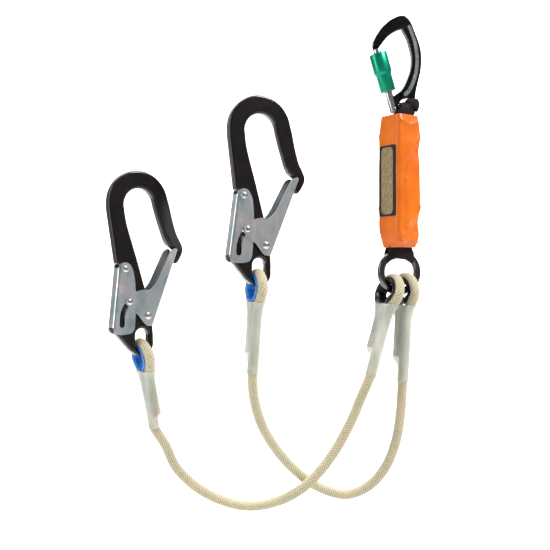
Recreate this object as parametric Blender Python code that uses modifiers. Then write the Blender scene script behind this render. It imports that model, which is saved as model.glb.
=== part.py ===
"""Twin-leg shock absorbing lanyard: a captive-eye carabiner, a webbing energy absorber in a vinyl cover,
a steel ring and two rope legs that end in large-opening hooks.

Frame: metres, +Z up, X to the right and +Y away from the viewer. The origin is the bearing face inside
the carabiner's crown, where the lanyard hangs. The shapes below are drawn in millimetres."""

import math

import bmesh
import bpy
from mathutils import Euler, Matrix, Vector

MM = 0.001
GAP = 0.3

# Driving dimensions, in millimetres and degrees
ROPE_D = 12.6
WALL = 1.3
WEBBING = 2.4
THIMBLE_R = 13.6
THIMBLE_T = 1.4
RIVET_R = 2.8
HOLE_R = RIVET_R + GAP

CARABINER_YAW = 8
CARABINER_T = 11.0
TILT_AXIS = (3.0, -104.0)
GATE_HINGE = (-10.3, -104.0)
GATE_LEAN = 16.1
GATE_LENGTH = 81.5
SLEEVE_FROM, SLEEVE_TO = 24.0, 75.0
LATCH_DROP = 2.7

PACK_X, PACK_YAW = -2.0, 36
PACK_TOP, PACK_BOTTOM = -112.5, -283.0
PACK_W, PACK_D = 42.0, 40.0
CORE_TOP, CORE_BOTTOM = -128.0, -270.0

RING_YAW = 15
RING_CENTRE = (-2.5, 0.0, -315.0)
RING_R, RING_WIRE = 25.0, 4.9

HOOK_T = 14.0
LEVER_IN, LEVER_OUT = 8.0, 9.6
FLANGE_IN, FLANGE_OUT = 10.0, 11.6
GATE_PIVOT = (5.55, 35.5)
LEVER_PIVOT = (-24.9, 96.1)
LATCH_PIN = (-20.0, 54.0)
EYE_R, EYE_RISE = 9.1, 10.4

# Each leg: where its hook hangs, how the hook and the eyes stand, and the rope's route between the sleeves
LEGS = {
    "left": {
        "hook": (-338.9, 0.0, -407.0), "hook_yaw": 34, "hook_tilt": 0.0,
        "hook_eye": {"yaw": 31, "lean": 11.5, "tail": -1, "doubled": 74, "sleeve": 94},
        "ring_eye": {"yaw": 27, "lean": -17.7, "tail": 1, "doubled": 73, "sleeve": 108},
        "ring_seat": (-8.2, -7.9),
        "route": [(-307, 9, -542), (-293, 4, -569), (-269, 1, -592), (-240, -2, -608), (-204, -5, -617),
                  (-169, -8, -613), (-136, -11, -598), (-109, -13, -574), (-86, -14, -543), (-67, -15, -508),
                  (-54, -16, -477)],
    },
    "right": {
        "hook": (-185.9, -38.0, -316.7), "hook_yaw": 24, "hook_tilt": 2.0,
        "hook_eye": {"yaw": 22, "lean": -4.2, "tail": 1, "doubled": 79, "sleeve": 104},
        "ring_eye": {"yaw": 27, "lean": -4.0, "tail": 1, "doubled": 83, "sleeve": 113},
        "ring_seat": (9.2, -6.4),
        "route": [(-190, -37, -474), (-181, -30, -507), (-164, -18, -539), (-141, -5, -568), (-111, 5, -593),
                  (-73, 9, -606), (-42, 8, -595), (-20, 5, -570), (-7, 2, -537), (-1, -2, -500)],
    },
}

COLOURS = {
    "carabiner_grey": ((0.16, 0.17, 0.18), 0.28, 1.0),
    "polished_steel": ((0.62, 0.60, 0.57), 0.25, 1.0),
    "green_anodised": ((0.02, 0.50, 0.27), 0.30, 0.9),
    "black_webbing": ((0.03, 0.02, 0.025), 0.85, 0.0),
    "orange_vinyl": ((0.95, 0.27, 0.03), 0.45, 0.0),
    "label_tan": ((0.45, 0.33, 0.18), 0.7, 0.0),
    "dark_steel": ((0.07, 0.065, 0.075), 0.25, 1.0),
    "cream_rope": ((0.78, 0.70, 0.50), 0.9, 0.0),
    "blue_plastic": ((0.02, 0.17, 0.75), 0.4, 0.0),
    "black_plastic": ((0.015, 0.015, 0.018), 0.4, 0.0),
    "clear_sleeve": ((0.80, 0.80, 0.74), 0.25, 0.0),
    "black_enamel": ((0.018, 0.014, 0.014), 0.22, 0.3),
    "zinc_plate": ((0.45, 0.52, 0.54), 0.35, 1.0),
    "spring_steel": ((0.5, 0.5, 0.5), 0.3, 1.0),
}


# ---------------------------------------------------------------- helpers

def collection(name, hidden=False):
    made = bpy.data.collections.new(name)
    bpy.context.scene.collection.children.link(made)
    made.hide_render = hidden
    return made


def material(name):
    found = bpy.data.materials.get(name)
    if found:
        return found
    colour, roughness, metallic = COLOURS[name]
    made = bpy.data.materials.new(name)
    made.use_nodes = True
    shader = made.node_tree.nodes["Principled BSDF"]
    shader.inputs["Base Color"].default_value = (*colour, 1)
    shader.inputs["Roughness"].default_value = roughness
    shader.inputs["Metallic"].default_value = metallic
    return made


def frame(name, origin, yaw=0.0, tilt=0.0):
    """An empty that carries a group: yaw turns it about Z, then tilt leans its top to its own right."""
    empty = bpy.data.objects.new(name, None)
    empty.empty_display_size = 20 * MM
    PARTS.objects.link(empty)
    turn = Euler((0, 0, math.radians(yaw))).to_matrix() @ Euler((0, math.radians(tilt), 0)).to_matrix()
    empty.matrix_world = Matrix.Translation(Vector(origin) * MM) @ turn.to_4x4()
    return empty


def child_frame(name, parent, origin=(0, 0, 0), lean=0.0):
    """A frame inside another: origin is in the parent's axes, and lean swings its foot to the right."""
    empty = bpy.data.objects.new(name, None)
    empty.empty_display_size = 10 * MM
    PARTS.objects.link(empty)
    empty.parent = parent
    turn = Euler((0, -math.radians(lean), 0)).to_matrix().to_4x4()
    empty.matrix_basis = Matrix.Translation(Vector(origin) * MM) @ turn
    return empty


def finish(name, mesh, parent, slot, origin=(0, 0, 0)):
    """Makes the object: the mesh is drawn in the parent's axes in millimetres, and its origin is moved."""
    mesh.transform(Matrix.Scale(MM, 4) @ Matrix.Translation(-Vector(origin)))
    mesh.shade_smooth()
    mesh.set_sharp_from_angle(angle=math.radians(35))
    obj = bpy.data.objects.new(name, mesh)
    obj.data.materials.clear()
    obj.data.materials.append(material(slot))
    PARTS.objects.link(obj)
    obj.parent = parent
    obj.location = Vector(origin) * MM
    return obj


def curve_mesh(curve):
    """The evaluated mesh of a curve, with its loose caps welded."""
    obj = bpy.data.objects.new(curve.name, curve)
    bpy.context.scene.collection.objects.link(obj)
    graph = bpy.context.evaluated_depsgraph_get()
    mesh = bpy.data.meshes.new_from_object(obj.evaluated_get(graph))
    bpy.data.objects.remove(obj)
    welded = bmesh.new()
    welded.from_mesh(mesh)
    bmesh.ops.remove_doubles(welded, verts=welded.verts, dist=0.002)
    bmesh.ops.recalc_face_normals(welded, faces=welded.faces)
    welded.to_mesh(mesh)
    welded.free()
    return mesh


def arc(cx, cz, r, start, end, steps):
    """Points along an arc, from start to end in degrees, counter-clockwise from +X."""
    turn = (end - start) / steps
    angles = [math.radians(start + turn * i) for i in range(steps + 1)]
    return [(cx + r * math.cos(a), cz + r * math.sin(a)) for a in angles]


def circle(cx, cz, r, steps=16):
    return arc(cx, cz, r, 0, 360, steps)[:-1]


def smooth(points, per_span=3):
    """A closed or open smooth line through points: Catmull-Rom, in any number of dimensions."""
    found = []
    ends = [points[0], *points, points[-1]]
    for before, a, b, after in zip(ends, ends[1:], ends[2:], ends[3:]):
        for i in range(per_span):
            t = i / per_span
            found.append(tuple(
                0.5 * (2 * p1 + (p2 - p0) * t + (2 * p0 - 5 * p1 + 4 * p2 - p3) * t * t
                       + (3 * p1 - p0 - 3 * p2 + p3) * t ** 3)
                for p0, p1, p2, p3 in zip(before, a, b, after)))
    return [*found, tuple(points[-1])]


def plate_mesh(name, outlines, thickness, edge=0.0, edge_steps=1, middle=0.0):
    """A flat piece in the XZ plane, centred on Y = middle: the first outline is its edge, the rest holes."""
    curve = bpy.data.curves.new(name, "CURVE")
    curve.dimensions = "2D"
    curve.fill_mode = "BOTH"
    curve.extrude = thickness / 2 - edge
    curve.bevel_depth = edge
    curve.offset = -edge
    curve.bevel_resolution = edge_steps
    for outline in outlines:
        spline = curve.splines.new("POLY")
        spline.points.add(len(outline) - 1)
        for point, (x, z) in zip(spline.points, outline):
            point.co = (x, z, 0, 1)
        spline.use_cyclic_u = True
    mesh = curve_mesh(curve)
    mesh.transform(Matrix.Translation((0, middle, 0)) @ Matrix.Rotation(math.pi / 2, 4, "X"))
    return mesh


def tube_mesh(name, points, radius, resolution=2, cyclic=False):
    curve = bpy.data.curves.new(name, "CURVE")
    curve.dimensions = "3D"
    curve.bevel_depth = radius
    curve.bevel_resolution = resolution
    curve.use_fill_caps = not cyclic
    spline = curve.splines.new("POLY")
    spline.points.add(len(points) - 1)
    for point, place in zip(spline.points, points):
        point.co = (*place, 1)
    spline.use_cyclic_u = cyclic
    return curve_mesh(curve)


def turned_mesh(name, profile, steps=16):
    """A profile of (radius, height) turned about Z. It is closed, or starts and ends on the axis."""
    mesh = bpy.data.meshes.new(name)
    edges = [(i, i + 1) for i in range(len(profile) - 1)]
    if profile[0][0] > 0:
        edges.append((len(profile) - 1, 0))
    mesh.from_pydata([(r, 0, h) for r, h in profile], edges, [])
    obj = bpy.data.objects.new(name, mesh)
    bpy.context.scene.collection.objects.link(obj)
    screw = obj.modifiers.new("turn", "SCREW")
    screw.steps = screw.render_steps = steps
    screw.use_merge_vertices = True
    screw.merge_threshold = 0.0001
    graph = bpy.context.evaluated_depsgraph_get()
    turned = bpy.data.meshes.new_from_object(obj.evaluated_get(graph))
    bpy.data.objects.remove(obj)
    welded = bmesh.new()
    welded.from_mesh(turned)
    bmesh.ops.remove_doubles(welded, verts=welded.verts, dist=0.002)
    bmesh.ops.recalc_face_normals(welded, faces=welded.faces)
    welded.to_mesh(turned)
    welded.free()
    return turned


def loft_mesh(name, rings, hollow=None):
    """A skin over rings of equally many points. With hollow, a second list of rings, it is an open shell."""
    made = bmesh.new()
    outer = [[made.verts.new(p) for p in ring] for ring in rings]

    def skin(rows):
        for low, high in zip(rows, rows[1:]):
            for i in range(len(low)):
                j = (i + 1) % len(low)
                made.faces.new((low[i], low[j], high[j], high[i]))

    skin(outer)
    if hollow:
        inner = [[made.verts.new(p) for p in ring] for ring in hollow]
        skin(inner)
        skin([outer[0], inner[0]])
        skin([outer[-1], inner[-1]])
    else:
        made.faces.new(outer[0])
        made.faces.new(outer[-1])
    bmesh.ops.recalc_face_normals(made, faces=made.faces)
    mesh = bpy.data.meshes.new(name)
    made.to_mesh(mesh)
    made.free()
    return mesh


def cut(mesh, *tools):
    """Subtracts the tool meshes, which overlap the mesh, with exact Booleans."""
    obj = bpy.data.objects.new("stock", mesh)
    CUTTERS.objects.link(obj)
    for i, tool in enumerate(tools):
        cutter = bpy.data.objects.new(f"cutter_{i}", tool)
        cutter.display_type = "WIRE"
        cutter.hide_render = True
        CUTTERS.objects.link(cutter)
        boolean = obj.modifiers.new(f"cut_{i}", "BOOLEAN")
        boolean.operation = "DIFFERENCE"
        boolean.object = cutter
    graph = bpy.context.evaluated_depsgraph_get()
    result = bpy.data.meshes.new_from_object(obj.evaluated_get(graph))
    for old in list(CUTTERS.objects):
        bpy.data.objects.remove(old)
    tidy = bmesh.new()
    tidy.from_mesh(result)
    bmesh.ops.remove_doubles(tidy, verts=tidy.verts, dist=0.004)
    bmesh.ops.dissolve_degenerate(tidy, dist=0.002, edges=tidy.edges)
    tidy.to_mesh(result)
    tidy.free()
    return result


def drill(name, x, z, r, low, high, steps=16):
    """A round cutter along Y, from low to high."""
    return plate_mesh(name, [circle(x, z, r, steps)], high - low, middle=(low + high) / 2)


def along_y(mesh, x, z, y=0.0):
    """Turns a piece that was made about Z so that it lies along +Y at (x, y, z)."""
    mesh.transform(Matrix.Translation((x, y, z)) @ Matrix.Rotation(-math.pi / 2, 4, "X"))
    return mesh


def pin_profile(length, r, head_r, head_h):
    """Half profile of a pin with a domed head at each end, from top to bottom."""
    half = length / 2
    dome = [(0, half + head_h), (head_r * 0.6, half + head_h * 0.85), (head_r, half + head_h * 0.3), (head_r, half)]
    top = [*dome, (r, half)]
    return [*top, *[(x, -z) for x, z in reversed(top)]]


def swept_slot(points, r, steps=6):
    """The outline of a slot of radius r that follows a line, drawn with round ends."""
    left, right = [], []
    for i, (x, z) in enumerate(points):
        ax, az = points[max(i - 1, 0)]
        bx, bz = points[min(i + 1, len(points) - 1)]
        size = math.hypot(bx - ax, bz - az)
        nx, nz = -(bz - az) / size, (bx - ax) / size
        left.append((x + nx * r, z + nz * r))
        right.append((x - nx * r, z - nz * r))
    heading = math.degrees(math.atan2(points[-1][1] - points[-2][1], points[-1][0] - points[-2][0]))
    start = math.degrees(math.atan2(points[1][1] - points[0][1], points[1][0] - points[0][0]))
    end_cap = arc(*points[-1], r, heading + 90, heading - 90, steps)[1:-1]
    start_cap = arc(*points[0], r, start - 90, start - 270, steps)[1:-1]
    return [*left, *end_cap, *reversed(right), *start_cap]


# ---------------------------------------------------------------- carabiner

def carabiner_body(parent):
    crown = arc(0.6, 0.6, 17.2, 118, 76, 4)
    spine = smooth([(8.4, 14.4), (11.2, 11.0), (14.6, 4.2), (17.8, -4.0), (22.2, -15.2), (25.0, -25), (26.1, -33), (26.1, -45), (24.4, -57),
                    (21.6, -68), (18.9, -80), (17.8, -92), (17.6, -103)], 2)
    foot = arc(13.0, -104.0, 4.6, -10, -90, 3)
    hinge = arc(*GATE_HINGE, 4.6, -90, -180, 4)
    heel = smooth([(-15.6, -98), (-15.2, -92), (-11.4, -87.4), (-7.2, -84.2)], 2)
    basket = smooth([(-7.2, -84.2), (-1.2, -80.0), (3.6, -73.4), (7.9, -64), (11.6, -54), (13.4, -43),
                     (13.2, -33), (10.9, -22.5), (7.6, -12), (3.0, -3.4)], 2)[1:]
    bearing = [(1.6, -0.8), (1.0, 0.0), (-1.4, 0.0)]
    arm_in = smooth([(-4.0, -0.9), (-10.6, -4.2), (-18.0, -9.6), (-23.6, -15.8), (-26.8, -20.4)], 2)
    nose = [(-28.6, -22.9), (-29.4, -23.2), (-29.4, -30.7), (-36.4, -30.7), (-38.2, -23.4)]
    arm_out = smooth([(-37.9, -17.5), (-33.2, -8.4), (-25.6, 2.4), (-15.6, 11.6)], 2)
    outline = [*crown, *spine, *foot, *hinge, *heel, *basket, *bearing, *arm_in, *nose, *arm_out]
    eye = [*arc(7.8, -96.6, 3.4, -90, 0, 3), (11.6, -91.5), (9.0, -88.9), (3.0, -90.2), (-1.2, -92.6),
           *arc(-1.6, -97.6, 2.4, 180, 270, 3)]
    body = plate_mesh("carabiner_body", [outline, eye], CARABINER_T, edge=1.9, edge_steps=1)
    fork = [(-20, -110), (-4.2, -110), (-4.2, -99), (-1.0, -86), (-1.0, -80), (-20, -80)]
    fork_slot = plate_mesh("fork", [fork], 6.6)
    pin_hole = drill("hinge_hole", *GATE_HINGE, 1.9, -8, 8, 12)
    tongue_sides = [plate_mesh("side", [[(-44, -23.0), (-24, -23.0), (-24, -36), (-44, -36)]], 6, middle=y)
                    for y in (-4.4, 4.4)]
    pin_x, pin_z = gate_point(GATE_LENGTH - LATCH_DROP)
    notch = plate_mesh("notch", [swept_slot([(pin_x, pin_z), (pin_x + 12, pin_z + 2.6)], 1.5)], 12)
    mesh = cut(body, fork_slot, pin_hole, *tongue_sides, notch)
    finish("carabiner_body", mesh, parent, "carabiner_grey")


def gate_point(along, across=0.0):
    """A point of the carabiner's gate: along its axis from the hinge, and across it to the right."""
    lean = math.radians(GATE_LEAN)
    x = GATE_HINGE[0] - along * math.sin(lean) + across * math.cos(lean)
    z = GATE_HINGE[1] + along * math.cos(lean) + across * math.sin(lean)
    return x, z


def lie_on_gate(mesh, along=0.0):
    """Moves a piece that was made about Z from Z = 0 on to the gate's axis."""
    x, z = gate_point(along)
    mesh.transform(Matrix.Translation((x, 0, z)) @ Matrix.Rotation(-math.radians(GATE_LEAN), 4, "Y"))
    return mesh


def carabiner_gate(parent):
    """A round rod with a flat foot for the hinge and a forked tip that holds the latch pin."""
    rod_r, foot_end = 4.9, 24.0
    rod = turned_mesh("rod", [(0, GATE_LENGTH), (rod_r - 0.6, GATE_LENGTH), (rod_r, GATE_LENGTH - 0.6),
                              (rod_r, -5.4), (0, -5.4)], 16)
    foot = [*arc(0, 0, 4.6, 0, -180, 10), (-8, 0), (-8, -8), (8, -8), (8, 0)]
    flats = [plate_mesh("flat", [[(-9, -6), (9, -6), (9, foot_end), (-9, foot_end)]], 4, middle=y)
             for y in (-5.0, 5.0)]
    tip_slot = plate_mesh("tip_slot", [[(-9, GATE_LENGTH - 9), (9, GATE_LENGTH - 9),
                                        (9, GATE_LENGTH + 2), (-9, GATE_LENGTH + 2)]], 3.6)
    hinge_hole = drill("hinge_hole", 0, 0, 1.9, -8, 8, 12)
    latch_hole = drill("latch_hole", 0, GATE_LENGTH - LATCH_DROP, 1.5, -8, 8, 12)
    mesh = cut(rod, *flats, plate_mesh("foot", [foot], 20), tip_slot, hinge_hole, latch_hole)
    origin = (GATE_HINGE[0], 0, GATE_HINGE[1])
    return finish("carabiner_gate", lie_on_gate(mesh), parent, "polished_steel", origin)


def carabiner_small_parts(parent):
    origin = (GATE_HINGE[0], 0, GATE_HINGE[1])
    hinge = turned_mesh("hinge", pin_profile(CARABINER_T + 0.8, 1.6, 2.7, 0.8), 12)
    finish("carabiner_hinge_pin", along_y(hinge, *GATE_HINGE), parent, "polished_steel", origin)
    latch = turned_mesh("latch", [(0, 4.4), (1.2, 4.4), (1.2, -4.4), (0, -4.4)], 10)
    place = gate_point(GATE_LENGTH - LATCH_DROP)
    finish("carabiner_latch_pin", along_y(latch, *place), parent, "spring_steel", origin)

    bore, chamber = 5.3, 8.0
    length = SLEEVE_TO - SLEEVE_FROM
    upper, lower = 11.2, 9.3
    profile = [(bore + 0.8, length), (upper - 1.2, length), (upper, length - 1.2), (upper, length - 26),
               (lower, length - 29), (lower, 1.0), (lower - 1.0, 0), (bore, 0), (bore, 5), (chamber, 5),
               (chamber, length - 24), (bore, length - 22), (bore, length - 0.8)]
    sleeve = turned_mesh("sleeve", profile, 24)
    finish("locking_sleeve", lie_on_gate(sleeve, SLEEVE_FROM), parent, "green_anodised", origin)

    turns, per_turn, wire = 4, 10, 0.6
    points = []
    for i in range(turns * per_turn + 1):
        a = 2 * math.pi * i / per_turn
        points.append((6.6 * math.cos(a), 6.6 * math.sin(a), 7.5 + 18 * i / (turns * per_turn)))
    spring = tube_mesh("spring", points, wire, 0)
    finish("sleeve_spring", lie_on_gate(spring, SLEEVE_FROM), parent, "spring_steel", origin)


# ---------------------------------------------------------------- energy absorber

def strap_outline(half_gap, bottom, top, width, steps=8):
    """A U of webbing seen from its edge: the inside is 2 half_gap wide and bottom is its inner low point."""
    centre = bottom + half_gap
    inner = arc(0, centre, half_gap, 180, 360, steps)
    outer = arc(0, centre, half_gap + width, 360, 180, steps)
    return [(-half_gap, top), *inner, (half_gap, top), (half_gap + width, top), *outer, (-half_gap - width, top)]


def edge_on(mesh):
    """Turns a plate drawn in XZ so that it is drawn in YZ."""
    mesh.transform(Matrix.Rotation(math.pi / 2, 4, "Z"))
    return mesh


def webbing_loops(carabiner, ring):
    """The loop in the captive eye turns about the carabiner's tilt axis; the other one holds the ring."""
    x, z = TILT_AXIS
    upper = strap_outline(6.9, 0, 18.5, WEBBING)
    mesh = edge_on(plate_mesh("upper", [[(a, 6.9 - b) for a, b in upper]], 11.6))
    mesh.transform(Matrix.Translation((x + 1.2, 0, z)))
    finish("upper_webbing_loop", mesh, carabiner, "black_webbing")
    lower = strap_outline(5.7, RING_R - 7.7, CORE_BOTTOM - 1.5 - RING_CENTRE[2], WEBBING)
    mesh = edge_on(plate_mesh("lower", [lower], 18.0))
    finish("lower_webbing_loop", mesh, ring, "black_webbing")


def tear_webbing(pack):
    """One long strap folded to and fro: a serpentine seen from its edge."""
    folds, pitch, half = 10, 2.9, 1.15
    top, bottom = CORE_TOP - pitch, CORE_BOTTOM + pitch
    line = []
    for i in range(folds):
        y = (i - (folds - 1) / 2) * pitch
        ends = [(y, bottom), (y, top)] if i % 2 == 0 else [(y, top), (y, bottom)]
        line.extend(ends)
        if i < folds - 1:
            middle = y + pitch / 2
            side = top if i % 2 == 0 else bottom
            sweep = (180, 0) if i % 2 == 0 else (180, 360)
            line.extend(arc(middle, side, pitch / 2, *sweep, 4)[1:-1])
    left, right = [], []
    for i, (y, z) in enumerate(line):
        a, b = line[max(i - 1, 0)], line[min(i + 1, len(line) - 1)]
        size = math.hypot(b[0] - a[0], b[1] - a[1])
        ny, nz = -(b[1] - a[1]) / size * half, (b[0] - a[0]) / size * half
        left.append((y + ny, z + nz))
        right.append((y - ny, z - nz))
    mesh = edge_on(plate_mesh("core", [[*left, *reversed(right)]], 30.0))
    finish("tear_webbing_pack", mesh, pack, "black_webbing")


def rounded_box(w, d, z, corner=4.6, steps=3):
    """A ring of points round a rectangle with round corners, at height z."""
    found = []
    for sx, sy, start in ((1, 1, 0), (-1, 1, 90), (-1, -1, 180), (1, -1, 270)):
        cx, cy = sx * (w / 2 - corner), sy * (d / 2 - corner)
        found.extend((x, y, z) for x, y in arc(cx, cy, corner, start, start + 90, steps))
    return found


def absorber_cover(pack):
    """The vinyl tube, open at both ends, with its mouths drawn in a little."""
    high, low = PACK_TOP, PACK_BOTTOM
    stations = [(high, -8.0, -7.0), (high - 9, -4.0, -3.5), (high - 28, 0, 0), (low + 34, 0, 0),
                (low + 12, -4.5, -4.0), (low, -9.0, -8.0)]
    outer = [rounded_box(PACK_W + dw, PACK_D + dd, z) for z, dw, dd in stations]
    inner = [rounded_box(PACK_W + dw - 2 * WALL, PACK_D + dd - 2 * WALL, z, 4.6 - WALL) for z, dw, dd in stations]
    finish("absorber_cover", loft_mesh("cover", outer, inner), pack, "orange_vinyl")


def cover_label(pack):
    """The badge on the cover's narrow left side."""
    height, width, thick = 91.0, 30.0, 0.8
    middle = -197.4
    outline = [(a, middle + b) for sx, sz, start in ((1, 1, 0), (-1, 1, 90), (-1, -1, 180), (1, -1, 270))
               for a, b in arc(sx * (width / 2 - 2), sz * (height / 2 - 2), 2, start, start + 90, 2)]
    mesh = edge_on(plate_mesh("label", [outline], thick))
    mesh.transform(Matrix.Translation((-PACK_W / 2 - GAP - thick / 2, 0, 0)))
    finish("cover_label", mesh, pack, "label_tan")


def attachment_ring(parent):
    points = [(RING_R * math.cos(a), 0, RING_R * math.sin(a))
              for a in (2 * math.pi * i / 40 for i in range(40))]
    mesh = tube_mesh("ring", points, RING_WIRE, 3, cyclic=True)
    finish("attachment_ring", mesh, parent, "dark_steel")


# ---------------------------------------------------------------- rope legs

EYE_BEND = THIMBLE_R + THIMBLE_T + ROPE_D / 2 + GAP
PAIR = ROPE_D / 2 + 0.35
# The eye in its own plane: sideways and down from the centre of its arch, down one side to the throat
EYE_SIDE = [(EYE_BEND, 0), (18.7, -7.5), (12.4, -16), (8.4, -25), (PAIR + 0.1, -35), (PAIR, -45)]
ARCH_STEPS = 12
SLEEVE_TOP = 14.5


def eye_line(tail, doubled, sleeve):
    """Rope centre line in the eye's plane (u, v), from the cut tail round the arch to the rope's free run."""
    tail_side = [(tail * PAIR, 5 - doubled), *[(tail * u, v) for u, v in reversed(EYE_SIDE)]]
    arch = [(tail * u, v) for u, v in arc(0, 0, EYE_BEND, 0, 180, ARCH_STEPS)[1:-1]]
    run_side = [(-tail * u, v) for u, v in EYE_SIDE]
    return [*tail_side, *arch, *run_side, (-tail * PAIR, -doubled), (-tail * PAIR, -sleeve - 3)]


def eye_place(empty, u, v):
    """World place, in millimetres, of a point in the eye's plane: u lies along the frame's Y."""
    return empty.matrix_world @ Vector((0, u * MM, v * MM)) / MM


def sleeve_rings(tail, doubled, sleeve, grow):
    """Rings of a sleeve that fits both ropes, then the run alone: stadium sections that end as circles."""
    rings = []
    r = ROPE_D / 2 + grow
    sections = [(-SLEEVE_TOP, 14.8), (-20, 11.6), (-25, 9.2), (-35, PAIR + 0.3), (-48, PAIR), (-doubled, PAIR),
                (-doubled - 6, 0), (-doubled - 11, -PAIR), (-sleeve, -PAIR)]
    for v, high in sections:
        low = min(-high, -PAIR)
        ring = [(high + r * math.cos(a), r * math.sin(a)) for a in (math.radians(t) for t in range(-90, 91, 30))]
        ring += [(low + r * math.cos(a), r * math.sin(a)) for a in (math.radians(t) for t in range(90, 271, 30))]
        rings.append([(x, tail * u, v) for u, x in ring])
    return rings


def thimble_mesh(name):
    """A half-round channel bent round the arch: its floor lies on the hook or ring, its lips hold the rope."""
    section = []
    for r, angles in ((ROPE_D / 2 + GAP + THIMBLE_T, range(-100, 101, 40)), (ROPE_D / 2 + 0.5, range(90, -91, -36))):
        section += [(r * math.sin(math.radians(a)), -r * math.cos(math.radians(a))) for a in angles]
    tips = [((14.6, -12.2), (0.826, -0.563)), ((18.3, -7.3), (0.899, -0.438))]
    turn = 180 / ARCH_STEPS
    arch = []
    for i in range(ARCH_STEPS + 1):
        c, s = math.cos(math.radians(turn * i)), math.sin(math.radians(turn * i))
        r = EYE_BEND - (0.3 if i in (0, ARCH_STEPS) else 0)
        arch.append(((r * c, r * s), (c, s)))
    far = [((-u, v), (-a, b)) for (u, v), (a, b) in reversed(tips)]
    rings = [[(x, u + a * r, v + b * r) for x, r in section] for (u, v), (a, b) in [*tips, *arch, *far]]
    return loft_mesh(name, rings)


def build_leg(side, leg, hook, ring):
    """One rope with an eye at each end, its two thimbles and its two clear sleeves."""
    eye_empties = {}
    ends = {}
    seat = ring.matrix_world @ (Vector((leg["ring_seat"][0], 0, leg["ring_seat"][1])) * MM) / MM
    for end, origin in (("hook", leg["hook"]), ("ring", tuple(seat))):
        eye = leg[f"{end}_eye"]
        base = frame(f"{side}_{end}_eye_frame", origin, eye["yaw"])
        swing = child_frame(f"{side}_{end}_eye_lean", base, lean=eye["lean"])
        centre = child_frame(f"{side}_{end}_eye_arch", swing, (0, 0, -EYE_BEND))
        bpy.context.view_layer.update()
        eye_empties[end] = centre
        line = eye_line(eye["tail"], eye["doubled"], eye["sleeve"])
        ends[end] = [eye_place(centre, u, v) for u, v in line]
        outer = sleeve_rings(eye["tail"], eye["doubled"], eye["sleeve"], 0.6 + 1.0)
        inner = sleeve_rings(eye["tail"], eye["doubled"], eye["sleeve"], 0.6)
        finish(f"{side}_{end}_sleeve", loft_mesh("sleeve", outer, inner), centre, "clear_sleeve")
        slot = "blue_plastic" if end == "hook" else "black_plastic"
        finish(f"{side}_{end}_thimble", thimble_mesh("thimble"), centre, slot)
    free = smooth([tuple(ends["hook"][-2]), tuple(ends["hook"][-1]), *leg["route"],
                   tuple(ends["ring"][-1]), tuple(ends["ring"][-2])], 2)[2:-2]
    points = [*ends["hook"][:-1], *[Vector(p) for p in free], *reversed(ends["ring"][:-1])]
    home = frame(f"{side}_rope_frame", (0, 0, 0))
    finish(f"{side}_rope", tube_mesh("rope", points, ROPE_D / 2, 2), home, "cream_rope")


# ---------------------------------------------------------------- hooks

def hook_body(side, parent):
    crown_out = [(x + 2.4 * max(0.0, (-5.5 - x) / 43.4), z) for x, z in arc(-5.5, 180.4, 43.4, 178, 14, 12)]
    nose_out = [(44.6, 161), (50.2, 143.5), (55.0, 134.6), (59.2, 126.0), (59.4, 119.5), (56.6, 112.4),
                (52.6, 106.0), (49.4, 103.4), (44.2, 104.6), (49.6, 119.4), (46.4, 122.6), (36.4, 129.2)]
    crown_in = arc(-3.5, 179.0, 21.5, 18, 84, 4)
    seat = arc(-3.5, 179.0, 21.5, 96, 196, 6)
    spine_in = [(-19.0, 147.4), (-7.4, 111.0), (4.4, 71.4), (14.3, 38.4)]
    lug = arc(*GATE_PIVOT, 9.3, 12, -32, 3)
    rim_top = [(14.9, 24.0), (16.2, 12.0)]
    rim = arc(0, 0, 16.6, 8, -122, 10)
    heel = [(-17.0, -8.2), (-33.8, 11.0), (-36.0, 13.6), (-36.0, 17.0), (-31.4, 18.8), (-31.4, 29.0)]
    back = [(-31.4, 60.0), (-30.4, 92.0), (-30.6, 99.8), (-35.6, 103.4), (-38.4, 122.0), (-43.2, 152.0)]
    outline = [*crown_out, *nose_out, *crown_in, *seat, *spine_in, *lug, *rim_top, *rim, *heel, *back]
    eye = [*arc(0, 0, EYE_R, 180, 360, 10), *arc(0, EYE_RISE, EYE_R, 0, 180, 10)]
    body = plate_mesh("body", [outline, eye], HOOK_T, edge=3.5, edge_steps=1)
    swept = [pin_at(t) for t in range(0, 34, 3)]
    mesh = cut(body,
               plate_mesh("arc_slot", [swept_slot(swept, RIVET_R + 0.5)], HOOK_T + 4),
               drill("gate_hole", *GATE_PIVOT, HOLE_R, -10, 10),
               drill("lever_hole", *LEVER_PIVOT, HOLE_R, -10, 10),
               drill("gate_pocket", *GATE_PIVOT, 6.4, -10, -3),
               drill("lever_pocket", *LEVER_PIVOT, 5.4, -10, -3))
    finish(f"{side}_hook_body", mesh, parent, "black_enamel")


def pin_at(turn):
    """Where the latch pin is after the gate has turned by so many degrees."""
    a = math.radians(turn)
    x, z = LATCH_PIN[0] - GATE_PIVOT[0], LATCH_PIN[1] - GATE_PIVOT[1]
    return GATE_PIVOT[0] + x * math.cos(a) - z * math.sin(a), GATE_PIVOT[1] + x * math.sin(a) + z * math.cos(a)


def gate_edge(z, inset=0.0):
    """X of the gate's straight outer edge at height z."""
    return 16.1 + (z - 29.9) * 0.3635 - inset


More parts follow.
